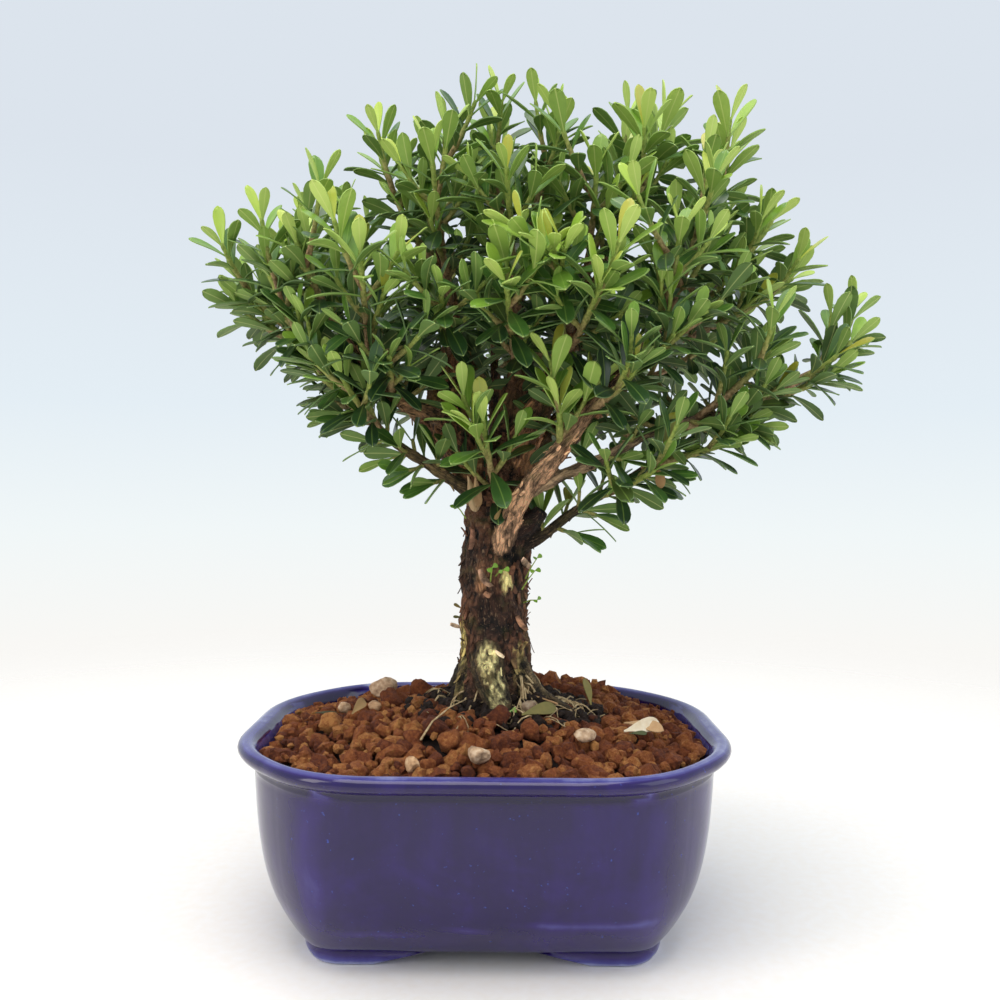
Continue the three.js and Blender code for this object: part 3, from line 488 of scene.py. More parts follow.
# %% Limb routes
LIMBS = {  # [x, y, z, radius] in mm from the middle of the pot's base
    "trunk": [(2, 0, 47, 12.5), (2.4, 0, 60, 12), (2.6, 0, 70, 10.2), (2.2, 0, 84, 9.6),
              (2.4, 0.4, 98, 9.8), (3.2, 1, 110, 9.9), (4, 1, 121, 9), (4.2, 1, 132, 6)],
    "left_bough": [(1, 1, 116, 6.6), (-6, 2, 130, 6.2), (-12, 3, 142, 5.6), (-13, 4, 152, 4.4),
                   (-11, 4, 163, 2.7), (-11, 3, 175, 1.9), (-15, 2, 190, 1.2)],
    "centre_bough": [(4, 2, 122, 6.4), (8, 7, 146, 5), (10, 10, 160, 3.8), (8, 12, 177, 2.4),
                     (6, 12, 194, 1.3)],
    "right_bough": [(6, 0, 122, 5.4), (12, -3, 138, 4.4), (17, -5, 148, 3.6), (21, -5, 158, 2.9),
                    (26, -3, 172, 1.9), (29, -1, 188, 1.2)],
    "front_branch": [(3, -4, 99, 3.4), (6.5, -11, 112, 3.1), (11.4, -13.5, 120.7, 2.9),
                     (17.4, -15.5, 128, 2.7), (25.2, -17, 138.4, 2.3), (32.4, -18, 147, 1.9),
                     (43, -18, 157, 1.5), (49, -17, 167, 1.1)],
    "right_fork": [(11, -13, 119, 2.1), (19.6, -14, 123.7, 1.9), (30.5, -16, 128.4, 1.7),
                   (47, -17, 137, 1.4), (59, -15, 140.5, 1.2), (72, -12, 143.5, 1), (81, -10, 148.5, 0.9)],
    "low_right": [(8, -3, 103, 2.4), (15.6, -4, 107, 1.9), (23.8, -6, 113.5, 1.5), (35.6, -9, 121, 1.2),
                  (44, -10, 127, 0.9)],
    "low_left": [(-3, -2, 118, 2.4), (-9, -4, 122, 2), (-16.6, -6, 127, 1.7), (-25.4, -8, 132.4, 1.5),
                 (-36.9, -9, 143, 1.3), (-46, -9, 152.4, 1.1), (-54, -7, 164, 0.9)],
    "mid_left": [(-10, 2, 139, 3.2), (-15, -5, 141.5, 2.7), (-24, -8, 144.6, 2.2), (-33, -12, 153.2, 1.7),
                 (-41, -13, 163.6, 1.1)],
    "right_mid": [(7, 2, 124, 4.4), (20, 5, 139, 3.3), (34, 5, 152, 2.4), (48, 4, 163, 1.7),
                  (57, 3, 173, 1.1)],
    "back_left": [(0, 4, 119, 5), (-12, 14, 132, 3.7), (-24, 24, 146, 2.7), (-34, 31, 160, 1.7),
                  (-40, 35, 172, 1.1)],
    "back_centre": [(3, 5, 124, 4.6), (3, 19, 138, 3.3), (2, 33, 152, 2.2), (1, 42, 167, 1.2)],
    "back_right": [(7, 4, 118, 4.7), (20, 14, 131, 3.4), (34, 24, 145, 2.5), (46, 30, 158, 1.7),
                   (53, 32, 169, 1.1)],
    "cut_stub_left": [(-7, -2, 133, 3.4), (-10.5, -8, 138, 3.2), (-11.5, -10, 140.5, 2)],
    "cut_stub_right": [(6, -4, 108, 4), (13, -7, 111.5, 3), (15.5, -8, 114.5, 2.2)],
    "root_front": [(2, -3, 79, 4.6), (0.6, -10, 70, 4.6), (3.4, -13.5, 62, 3.9), (5.4, -15, 53, 2.6)],
    "root_right": [(6, -2, 75, 4.2), (11, -5, 67, 3.2), (16, -7, 62, 2), (23, -9, 58.5, 1.5),
                   (29, -10, 54, 1.2)],
    "root_left": [(-2, -2, 74, 4.4), (-5.5, -4, 65, 3.6), (-8, -6, 56, 2.4)],
    "root_back_left": [(-1, 4, 74, 4.4), (-7, 11, 64, 3.4), (-11, 16, 54, 2.2)],
    "root_back_right": [(5, 4, 75, 4.4), (11, 11, 64, 3.4), (16, 16, 54, 2.2)],
}
STEPS_PER_SPAN = 6


def route_points(route, steps=STEPS_PER_SPAN):
    """Points (place, radius) along the centripetal spline through a route, whose radius runs straight."""
    spots = [Vector(row[:3]) for row in route]
    points = []
    for i, (p1, p2) in enumerate(zip(spots, spots[1:])):
        p0 = spots[i - 1] if i else 2 * p1 - p2
        p3 = spots[i + 2] if i + 2 < len(spots) else 2 * p2 - p1
        d0, d1, d2 = math.sqrt((p1 - p0).length), math.sqrt((p2 - p1).length), math.sqrt((p3 - p2).length)
        t1 = ((p1 - p0) / d0 - (p2 - p0) / (d0 + d1) + (p2 - p1) / d1) * d1
        t2 = ((p2 - p1) / d1 - (p3 - p1) / (d1 + d2) + (p3 - p2) / d2) * d1
        for k in range(steps):
            s = k / steps
            spot = p1 + t1 * s + (3 * (p2 - p1) - 2 * t1 - t2) * s ** 2 + (2 * (p1 - p2) + t1 + t2) * s ** 3
            points.append((spot, mix(route[i][3], route[i + 1][3], s)))
    return points + [(spots[-1], route[-1][3])]


def add_tube(bm, points, sides, ends=0.4):
    """A closed tube through (place, radius) points. Its rings are bridged and its ends drawn out."""
    spots = [spot for spot, _ in points]
    axis = (spots[1] - spots[0]).normalized()
    across = axis.orthogonal().normalized()
    rings = []
    for i, (spot, radius) in enumerate(points):
        along = (spots[min(i + 1, len(spots) - 1)] - spots[max(i - 1, 0)]).normalized()
        across = (across - along * across.dot(along)).normalized()
        basis = Matrix((across, along.cross(across), along)).transposed().to_4x4()
        place = Matrix.Translation(spot) @ basis
        rings.append(bmesh.ops.create_circle(bm, segments=sides, radius=radius, matrix=place)["verts"])
    for lower, upper in zip(rings, rings[1:]):
        ring_edges = {edge for vert in lower + upper for edge in vert.link_edges if not edge.link_faces}
        open_edges = {edge for vert in lower for edge in vert.link_edges if edge.is_boundary}
        bmesh.ops.bridge_loops(bm, edges=list(ring_edges | open_edges))
    for ring, outward in ((rings[0], spots[0] - spots[1]), (rings[-1], spots[-1] - spots[-2])):
        edges = list({edge for vert in ring for edge in vert.link_edges if len(edge.link_faces) == 1})
        cap = bmesh.ops.contextual_create(bm, geom=edges)["faces"]
        for vert in bmesh.ops.poke(bm, faces=cap)["verts"]:
            vert.co += outward.normalized() * ends


limb_points = {name: route_points(route) for name, route in LIMBS.items()}
print("limbs:", len(limb_points))

# %% Fuse the limbs
VOXEL = 0.55  # in mm, about a third of the finest bark ridge
TRUNK_SIDES, LIMB_SIDES = 28, 14
wood_bm = bmesh.new()
for name, points in limb_points.items():
    add_tube(wood_bm, points, TRUNK_SIDES if name == "trunk" else LIMB_SIDES)
bmesh.ops.recalc_face_normals(wood_bm, faces=wood_bm.faces)
rough_wood = to_mesh(wood_bm, "rough_wood")
carrier = place_object("rough_wood", rough_wood)
remesh = carrier.modifiers.new("fuse", "REMESH")
remesh.mode = "VOXEL"
remesh.voxel_size = VOXEL
wood = bpy.data.meshes.new_from_object(carrier.evaluated_get(bpy.context.evaluated_depsgraph_get()))
bpy.data.meshes.remove(rough_wood)
print("wood vertices:", len(wood.vertices))


# %% Where each point lies on its limb
limb_names = list(LIMBS)
starts, ends, radii, limb_of, run = [], [], [], [], []
for index, name in enumerate(limb_names):
    length = 0.0
    for (a, ra), (b, rb) in zip(limb_points[name], limb_points[name][1:]):
        starts.append(a)
        ends.append(b)
        radii.append((ra, rb))
        limb_of.append(index)
        run.append(length)
        length += (b - a).length
starts, ends, radii, limb_of, run = map(np.array, (starts, ends, radii, limb_of, run))
spans = ends - starts
span_lengths = np.linalg.norm(spans, axis=1)


def limb_places(points):
    """For each point: its limb, the distance along it, the vector out from its middle, and its axis."""
    found = []
    for chunk in np.array_split(points, max(1, len(points) // 4000)):
        away = chunk[:, None, :] - starts[None]
        share = np.clip((away * spans).sum(2) / (span_lengths ** 2), 0, 1)
        out = away - share[..., None] * spans
        radius = radii[:, 0] + share * (radii[:, 1] - radii[:, 0])
        best = np.argmin(np.linalg.norm(out, axis=2) - radius, axis=1)
        pick = np.arange(len(chunk))
        found.append((limb_of[best], run[best] + share[pick, best] * span_lengths[best], out[pick, best],
                      spans[best] / span_lengths[best][:, None], radius[pick, best]))
    return [np.concatenate(column) for column in zip(*found)]


def read_vectors(data, field):
    """The vectors of a mesh's points as the rows of an array."""
    values = np.empty(len(data) * 3)
    data.foreach_get(field, values)
    return values.reshape(-1, 3)


count = len(wood.vertices)
spots = read_vectors(wood.vertices, "co")
normals = read_vectors(wood.vertex_normals, "vector")
limb_index, along_limb, out_from_axis, limb_axis, limb_radius = limb_places(spots)
print("longest limb run:", round(float(along_limb.max()), 1), "mm")

# %% Bark relief
RIDGE_WIDTH = 2.6  # mm round the limb
RIDGE_STRETCH = 0.28  # a ridge is three to four times as long as it is wide
FLAKE_WIDTH, KNOT_WIDTH, CRUST_WIDTH = 1.25, 6.5, 1.5
SUNK = 0.25  # mm that the whole surface goes in, so that its crests stay near the limb's radius
grain_place = out_from_axis + limb_axis * (along_limb * RIDGE_STRETCH)[:, None] + limb_index[:, None] * 37.0
height = np.zeros(count)
for i in range(count):
    grain_spot, spot = Vector(grain_place[i]), Vector(spots[i])
    size = min(1.0, limb_radius[i] / 8)
    ridges = 1 - abs(noise.noise(grain_spot / RIDGE_WIDTH)) * 2.4
    flakes = noise.noise(grain_spot / FLAKE_WIDTH + Vector((9, 4, 2)))
    knots = noise.noise(spot / KNOT_WIDTH)
    crust = noise.noise(spot / CRUST_WIDTH + Vector((3, 1, 7)))
    rough = 0.5 * ridges + 0.32 * flakes + 0.5 * crust
    height[i] = (0.85 * size + 0.12) * rough + (1.5 * size + 0.1) * 0.6 * knots
spots = spots + normals * (height - SUNK)[:, None]
wood.vertices.foreach_set("co", spots.ravel())
print("bark relief from", round(float(height.min()), 2), "to", round(float(height.max()), 2), "mm")

# %% Bark tones
BARK_TONES = {
    "trunk": "#573826", "left_bough": "#7c5639", "centre_bough": "#6a4b34", "right_bough": "#946a49",
    "front_branch": "#c69a75", "right_fork": "#8f775a", "low_right": "#4d4029", "low_left": "#74603f",
    "mid_left": "#9a7452", "right_mid": "#80603f", "back_left": "#6a4830", "back_centre": "#5e3f28",
    "back_right": "#6e4a2e", "cut_stub_left": "#7a5238", "cut_stub_right": "#2f1c12",
    "root_front": "#4a3b24", "root_right": "#8a7552", "root_left": "#7d6b40",
    "root_back_left": "#54412a", "root_back_right": "#5b472c"}
PATCHES = [  # a tone round a place in mm: the centre, the radii of its ellipsoid, the colour and its share
    ((0.6, -14, 73), (2.8, 5.5, 6), "#e0d190", 1.0), ((3.6, -17, 63), (2.4, 5, 8), "#e2d494", 1.0),
    ((-7.5, -6, 77), (2.0, 6, 7), "#c2b066", 0.9), ((9.5, -9, 70), (2.0, 4.5, 8), "#b39d62", 0.8),
    ((5.5, -9.5, 94), (1.7, 3.5, 3.4), "#dccd86", 0.95), ((-2, -9, 95), (2.2, 3.5, 4.5), "#a0744f", 0.8),
    ((3, -9, 84), (8, 6, 8), "#1d110b", 0.8), ((10, -6, 105), (6, 7, 6), "#241610", 0.8),
    ((-3, -9, 107), (5, 5, 12), "#3a2416", 0.5), ((-6, -5, 98), (4, 6, 9), "#1f150e", 0.7),
    ((2, -12, 57), (12, 9, 4), "#1a100a", 0.75), ((5, -11, 117), (4, 5, 8), "#9a7250", 0.6),
    ((10, 8, 86), (5, 6, 16), "#2a1c12", 0.6), ((-2, 10, 90), (6, 5, 14), "#33241a", 0.6),
    ((4, 10, 68), (7, 6, 8), "#82764a", 0.6), ((-14, -2, 146), (5, 5, 9), "#8a6a45", 0.4),
]
PALE = 0.5  # a patch whose linear red, green and blue come to more is pale
PALE_ROOTS = ("root_front", "root_left")  # their pale bark reaches down into the soil
STREAK = (0.9, 0.9, 4.2)  # mm across and up


def noise_at(points, size):
    """Noise at each row of an array, with features of a size in mm."""
    return np.array([noise.noise(Vector(point) / size) for point in points])


def toned(tones, mask, colour):
    """The tones with a colour mixed in by the mask."""
    return tones * (1 - mask[:, None]) + np.array(linear(colour)[:3]) * mask[:, None]


tones = np.array([linear(BARK_TONES[name])[:3] for name in limb_names])[limb_index]
for centre, size, colour, share in PATCHES:
    away = (((spots - np.array(centre)) / np.array(size)) ** 2).sum(1)
    near = away < 2.5
    mask = np.zeros(count)
    mask[near] = np.clip((1.25 - away[near] + 0.9 * noise_at(spots[near], 1.8)) * 1.6, 0, 1) * share
    if sum(linear(colour)[:3]) > PALE:  # dark fissures cut the pale patches
        mask[near] *= np.clip(1.05 + 2.2 * noise_at(spots[near] / np.array(STREAK), 1), 0.12, 1)
    tones = toned(tones, mask, colour)
damp_line = 71 + 7 * noise_at(spots, 2.6)
damp_limb = ~np.isin(limb_index, [limb_names.index(name) for name in PALE_ROOTS])
tones = toned(tones, 0.78 * np.clip((damp_line - spots[:, 2]) / 7, 0, 1) * damp_limb, "#22160d")
POINT_LAYERS = {"bark_tone": ("FLOAT_COLOR", "color", np.hstack([tones, np.ones((count, 1))])),
                "bark_height": ("FLOAT", "value", height),
                "bark_grain": ("FLOAT_VECTOR", "vector", grain_place)}
for label, (kind, field, values) in POINT_LAYERS.items():
    layer = wood.attributes.new(label, kind, "POINT")
    layer.data.foreach_set(field, np.ascontiguousarray(values, dtype=np.float32).ravel())
wood.shade_smooth()
print("bark patches:", len(PATCHES))

# %% Bark finish
# Corky boxwood bark: dry and matt, black in its fissures and paler where the ridges weather.
bark, tree, shader = start_material("corky_boxwood_bark", Roughness=0.92)
tone = add(tree, "ShaderNodeAttribute", attribute_name="bark_tone")
lift = add(tree, "ShaderNodeAttribute", attribute_name="bark_height")
place = add(tree, "ShaderNodeAttribute", attribute_name="bark_grain").outputs["Vector"]  # in mm
where = add(tree, "ShaderNodeTexCoord").outputs["Object"]
fibres = add(tree, "ShaderNodeTexNoise", {"Vector": place, "Scale": 1 / 0.9, "Detail": 6.0,
                                          "Roughness": 0.75}).outputs["Fac"]
swirl = add(tree, "ShaderNodeTexNoise", {"Vector": place, "Scale": 1 / 2.2, "Detail": 3.0})
bent = add(tree, "ShaderNodeVectorMath", {0: swirl.outputs["Color"], 1: (0.9, 0.9, 0.9), 2: place}, **SUM)
flake = add(tree, "ShaderNodeTexVoronoi", {"Vector": bent.outputs["Vector"], "Scale": 1 / 1.2})
flake_parts = add(tree, "ShaderNodeSeparateColor", {"Color": flake.outputs["Color"]})
fissure = add(tree, "ShaderNodeTexVoronoi", {"Vector": bent.outputs["Vector"], "Scale": 1 / 1.3},
              feature="DISTANCE_TO_EDGE")
level = add(tree, "ShaderNodeMath", {0: fibres, 1: 1.5, 2: lift.outputs["Fac"]}, **SUM)
level = add(tree, "ShaderNodeMath", {0: flake_parts.outputs["Red"], 1: 0.4, 2: level.outputs["Value"]}, **SUM)
worn = add(tree, "ShaderNodeMapRange", {"Value": level.outputs["Value"], "From Min": 0.5, "From Max": 1.45})
weather = add(tree, "ShaderNodeValToRGB", {"Fac": worn.outputs["Result"]}, stops=[
    (0.05, 0.06), (0.3, 0.3), (0.5, 0.85), (0.74, 1.7), (1.0, 2.5)])
colour = add(tree, "ShaderNodeMix", {0: 1.0, 6: tone.outputs["Color"], 7: weather.outputs["Color"]},
             blend_type="MULTIPLY", clamp_result=False, **COLOURS)
depth = add(tree, "ShaderNodeMath", {0: fibres, 1: 0.3, 2: fissure.outputs["Distance"]}, **SUM)
crack = add(tree, "ShaderNodeMapRange", {"Value": depth.outputs["Value"], "From Min": 0.14,
                                         "From Max": 0.26, "To Min": 0.58, "To Max": 1.0})
colour = add(tree, "ShaderNodeMix", {0: 1.0, 6: colour.outputs[2], 7: crack.outputs["Result"]},
             blend_type="MULTIPLY", **COLOURS)
scurf = add(tree, "ShaderNodeTexNoise", {"Vector": place, "Scale": 1 / 0.42, "Detail": 2.0})
algae = add(tree, "ShaderNodeTexNoise", {"Vector": where, "Scale": per_mm(5), "Detail": 5.0})
for film, low, share, film_colour in ((scurf, 0.6, 0.5, "#b08e6c"), (algae, 0.54, 0.3, "#67692f")):
    cover = add(tree, "ShaderNodeMapRange", {"Value": film.outputs["Fac"], "From Min": low,
                                             "From Max": 0.7, "To Min": 0.0, "To Max": share})
    colour = add(tree, "ShaderNodeMix", {0: cover.outputs["Result"], 6: colour.outputs[2],
                                         7: linear(film_colour)}, **COLOURS)
relief = add(tree, "ShaderNodeMath", {0: level.outputs["Value"], 1: crack.outputs["Result"]},
             operation="MULTIPLY")
dress(tree, shader, colour.outputs[2], relief.outputs["Value"], 1.1)
finish_piece(wood, "bark_and_wood", [bark], ["trunk_and_boughs"])

# %% [markdown]
# ## Leafy sprays
# Boxwood leaves stand in pairs, each pair across the last. At the tip of a shoot they are young, small and
# upright like a tulip; older pairs spread, darken and arch down. One blade is modelled flat on a grid, then
# copied along each shoot with its own size, fold, arch and tone. Each spray replaces its faceted node and
# keeps its stem and its outermost leaves, and carries the finer shoots that the solids leave out.

# %% One leaf blade
LEAF_LENGTH, LEAF_WIDTH, LEAF_THICKNESS = 13.6, 4.5, 0.34
LEAF_ROWS = [(0.0, 0.13), (0.13, 0.26), (0.34, 0.62), (0.56, 0.92), (0.75, 1.0), (0.89, 0.83), (0.97, 0.54),
             (1.0, 0.24)]  # place along the blade and share of its half width
TIP_NOTCH = 0.012
blade_bm = bmesh.new()
bmesh.ops.create_grid(blade_bm, x_segments=len(LEAF_ROWS) - 1, y_segments=4, size=1)
for vert in blade_bm.verts:
    place, share = LEAF_ROWS[round((vert.co.x + 1) / 2 * (len(LEAF_ROWS) - 1))]
    side = vert.co.y
    place -= TIP_NOTCH * (1 - abs(side)) * (place == 1.0) + 0.035 * side * side * smoothstep(0.7, 1, place)
    vert.co = (LEAF_LENGTH * place, side * share * LEAF_WIDTH / 2, 0)
bmesh.ops.solidify(blade_bm, geom=blade_bm.faces[:], thickness=LEAF_THICKNESS)
bmesh.ops.recalc_face_normals(blade_bm, faces=blade_bm.faces)
blade_uv = blade_bm.loops.layers.uv.new("blade")
for face in blade_bm.faces:
    face.smooth = abs(face.normal.z) > 0.5
    face.material_index = 0 if face.normal.z > 0.5 else 1
    for loop in face.loops:
        spot = loop.vert.co
        loop[blade_uv].uv = (spot.x / LEAF_LENGTH, 0.5 + spot.y / LEAF_WIDTH)
for edge in blade_bm.edges:
    edge.smooth = all(face.smooth for face in edge.link_faces)
leaf_blade = to_mesh(blade_bm, "leaf_blade")
print("faces in a leaf:", len(leaf_blade.polygons))

# %% Leaf finishes
def add_midrib(tree, colour, strength, rib_colour):
    """Draws the midrib along the middle of a blade; gives the colour and the place across the blade."""
    blade_map = add(tree, "ShaderNodeUVMap", uv_map="blade")
    blade_parts = add(tree, "ShaderNodeSeparateXYZ", {"Vector": blade_map.outputs["UV"]})
    offset = add(tree, "ShaderNodeMath", {0: blade_parts.outputs["Y"], 1: 0.5}, operation="SUBTRACT")
    across = add(tree, "ShaderNodeMath", {0: offset.outputs["Value"]}, operation="ABSOLUTE").outputs[0]
    rib = add(tree, "ShaderNodeMapRange", {"Value": across, "From Min": 0.012, "From Max": 0.045,
                                           "To Min": strength, "To Max": 0.0})
    ribbed = add(tree, "ShaderNodeMix", {0: rib.outputs["Result"], 6: colour, 7: linear(rib_colour)},
                 **COLOURS)
    return ribbed.outputs[2], across


def leaf_age(tree, mottle_mm, detail, share):
    """A leaf's stored tone, a mottle over its face, and its youth with a share of that mottle."""
    stored = add(tree, "ShaderNodeAttribute", attribute_name="leaf_tone")
    tone = add(tree, "ShaderNodeSeparateColor", {"Color": stored.outputs["Color"]}).outputs
    where = add(tree, "ShaderNodeTexCoord").outputs["Object"]
    mottle = add(tree, "ShaderNodeTexNoise", {"Vector": where, "Scale": per_mm(mottle_mm), "Detail": detail})
    age = add(tree, "ShaderNodeMath", {0: mottle.outputs["Fac"], 1: share, 2: tone["Red"]}, **SUM)
    return tone, mottle.outputs["Fac"], age.outputs["Value"]


# Living boxwood leaf: a waxy upper face, dark and faintly dusty when old, with a fine pale midrib.
leaf_top, tree, shader = start_material("waxy_boxwood_leaf_upper", Roughness=0.3, IOR=1.48)
tone, mottle, age = leaf_age(tree, 4.5, 3.0, 0.16)
green = add(tree, "ShaderNodeValToRGB", {"Fac": age}, stops=[
    (0.06, "#1a2c1c"), (0.24, "#2a4824"), (0.42, "#4a722c"), (0.62, "#80a83a"), (0.82, "#aeca4e"),
    (1.0, "#ccda66")])
bronzed = add(tree, "ShaderNodeMix", {0: tone["Blue"], 6: green.outputs["Color"], 7: linear("#b3a637")},
              **COLOURS)
ribbed, across = add_midrib(tree, bronzed.outputs[2], 0.34, "#a3c25c")
edge_light = add(tree, "ShaderNodeMapRange", {"Value": across, "From Min": 0.4, "From Max": 0.5,
                                              "To Min": 0.0, "To Max": 0.2})
edged = add(tree, "ShaderNodeMix", {0: edge_light.outputs["Result"], 6: ribbed, 7: linear("#8fae58")},
            **COLOURS)
dress(tree, shader, edged.outputs[2], mottle, 0.12)

# The under face has no wax: it is paler, more yellow and matt.
leaf_under, tree, shader = start_material("boxwood_leaf_underside", Roughness=0.62)
_, _, age = leaf_age(tree, 3, 3.0, 0.16)
pale = add(tree, "ShaderNodeValToRGB", {"Fac": age}, stops=[
    (0.08, "#435a34"), (0.3, "#5f7d3e"), (0.6, "#8cab4c"), (1.0, "#b8cf68")])
dress(tree, shader, add_midrib(tree, pale.outputs["Color"], 0.5, "#d3dc8c")[0])

# Stems: green and smooth when young, tan and scaly with age.
stem_skin, tree, shader = start_material("boxwood_stem_skin", Roughness=0.75)
tone, scurf, _ = leaf_age(tree, 0.9, 4.0, 0.0)
old = add(tree, "ShaderNodeValToRGB", {"Fac": scurf}, stops=[(0.35, "#6a4f35"), (0.65, "#b3926c")])
fresh = add(tree, "ShaderNodeValToRGB", {"Fac": scurf}, stops=[(0.3, "#6f8a35"), (0.7, "#9cb04a")])
skin = add(tree, "ShaderNodeMix", {0: tone["Red"], 6: old.outputs["Color"], 7: fresh.outputs["Color"]},
           **COLOURS)
dress(tree, shader, skin.outputs[2], scurf, 0.2)
LEAFY = [leaf_top, leaf_under, stem_skin]
print("leaf and stem finishes ready")


# %% Helpers for shoots
def bend_point(a, b, c, share):
    return a.lerp(b, share).lerp(b.lerp(c, share), share)


def add_leaf(bm, layer, frame_matrix, size, arch, fold, twist, tone):
    """Copies the blade onto a shoot with its own bend; tone is (youth, chance, bronze)."""
    first = len(bm.verts)
    bm.from_mesh(leaf_blade)
    for vert in added(bm.verts, first):
        x, y, z = vert.co
        share = x / LEAF_LENGTH
        angle = twist * share
        y, z = y * math.cos(angle) - z * math.sin(angle), z * math.cos(angle) + y * math.sin(angle)
        z += fold * (abs(y) - 0.2 * y * y) - arch * x * share
        x -= 0.5 * arch * arch * x * share
        vert.co = frame_matrix @ Vector((x * size, y * size, z * size))
        vert[layer] = (*tone, 1.0)


FIRST_PAIR = 1.0  # mm from a shoot's tip to its youngest pair
PAIR_SIZES = (0.76, 0.95, 1.0, 1.0)  # from the youngest pair on
OLDEST_RANK = 4  # pairs further from the tip don't droop or arch more
DROPPED = 0.06  # how often an older leaf has dropped
LEAF_STALK = 0.4  # mm from the stem's middle to the foot of a blade
LOWEST_HEADING = -0.38  # a living leaf turns up to the light and never hangs straight down


def pair_shares(length, least_share, spacing, chance):
    """How far along a shoot each pair of leaves stands, from the tip down and closer near the tip."""
    shares = []
    distance = FIRST_PAIR
    while 1 - distance / length > least_share:
        shares.append(1 - distance / length)
        distance += spacing * (0.62 + 0.12 * min(len(shares), OLDEST_RANK)) * chance.uniform(0.85, 1.15)
    return shares


def add_stem(bm, layer, curve, radius, pairs, length, young_stem):
    """The stem of a shoot, a little thicker at each pair of leaves and greener to its tip."""
    first, first_face = len(bm.verts), len(bm.faces)
    between = [(p + q) / 2 for p, q in zip(pairs, pairs[1:])]
    points = [(bend_point(*curve, s), mix(*radius, s) * (1.3 if s in pairs else 1.0))
              for s in sorted({0.0, 1.0, *pairs, *between})]
    add_tube(bm, points, 6, ends=0.2)
    for vert in added(bm.verts, first):
        nearness = 1 - (vert.co - curve[2]).length / max(length, 30)
        vert[layer] = (smoothstep(0.35, 0.95, nearness) * young_stem, 0.5, 0.0, 1.0)
    for face in added(bm.faces, first_face):
        face.material_index = 2
        face.smooth = True


def leaf_turn(along, side, spread, rank):
    """A leaf's heading and its turned axes: it spreads from the stem, droops with age and faces the sky."""
    heading = (along * math.cos(spread) + side * math.sin(spread)).normalized()
    heading -= Vector((0, 0, 0.07 * rank))
    heading.z = max(heading.z, LOWEST_HEADING)
    heading.normalize()
    sky = along + Vector((0, 0, 0.45 + 0.16 * rank))
    width = sky.cross(heading).normalized()
    return heading, Matrix((heading, width, heading.cross(width))).transposed().to_4x4()


def add_shoot(bm, layer, curve, radius, look, chance, least_share=0.1):
    """A stem along a curve of three points, with its crosswise pairs of leaves up to the tip."""
    a, b, c = curve
    length = sum((bend_point(*curve, (k + 1) / 8) - bend_point(*curve, k / 8)).length for k in range(8))
    pairs = pair_shares(length, least_share, look["spacing"], chance)
    add_stem(bm, layer, curve, radius, pairs, length, look["young_stem"])
    plane = (b - a).cross(c - b)
    plane = plane.normalized() if plane.length > 1e-6 else (c - a).orthogonal().normalized()
    for pair, share in enumerate(pairs):
        rank = min(pair, OLDEST_RANK)
        along = (b - a).lerp(c - b, share).normalized()
        across = Matrix.Rotation(look["turn"], 3, along) @ plane
        upper = along.cross(across)
        for second in (0, 1):
            if pair > 2 and chance.random() < DROPPED:
                continue
            turned = pair * math.pi / 2 + second * math.pi + chance.uniform(-0.25, 0.25)
            side = across * math.cos(turned) + upper * math.sin(turned)
            spread = min(0.36 + 0.17 * pair, 1.05) + chance.uniform(-0.1, 0.14)
            heading, axes = leaf_turn(along, side, spread, rank)
            foot = Matrix.Translation(bend_point(*curve, share) + heading * LEAF_STALK)
            size = look["size"] * PAIR_SIZES[min(pair, 3)] * chance.uniform(0.86, 1.1)
            youth = look["youth"] * math.exp(-pair / look["fade"]) + look["base"]
            youth = min(max(youth + chance.uniform(-0.05, 0.05), 0.0), 1.0)
            bronze = look["bronze"] * (pair == 0) * chance.uniform(0.3, 1.0)
            bronze += 0.08 * (chance.random() < 0.04)
            arch = 0.03 + 0.055 * rank + chance.uniform(-0.03, 0.08)
            add_leaf(bm, layer, foot @ axes, size, arch, chance.uniform(0.05, 0.3),
                     chance.uniform(-0.35, 0.35), (youth, chance.random(), bronze))


print("a leaf is", LEAF_LENGTH, "mm long")

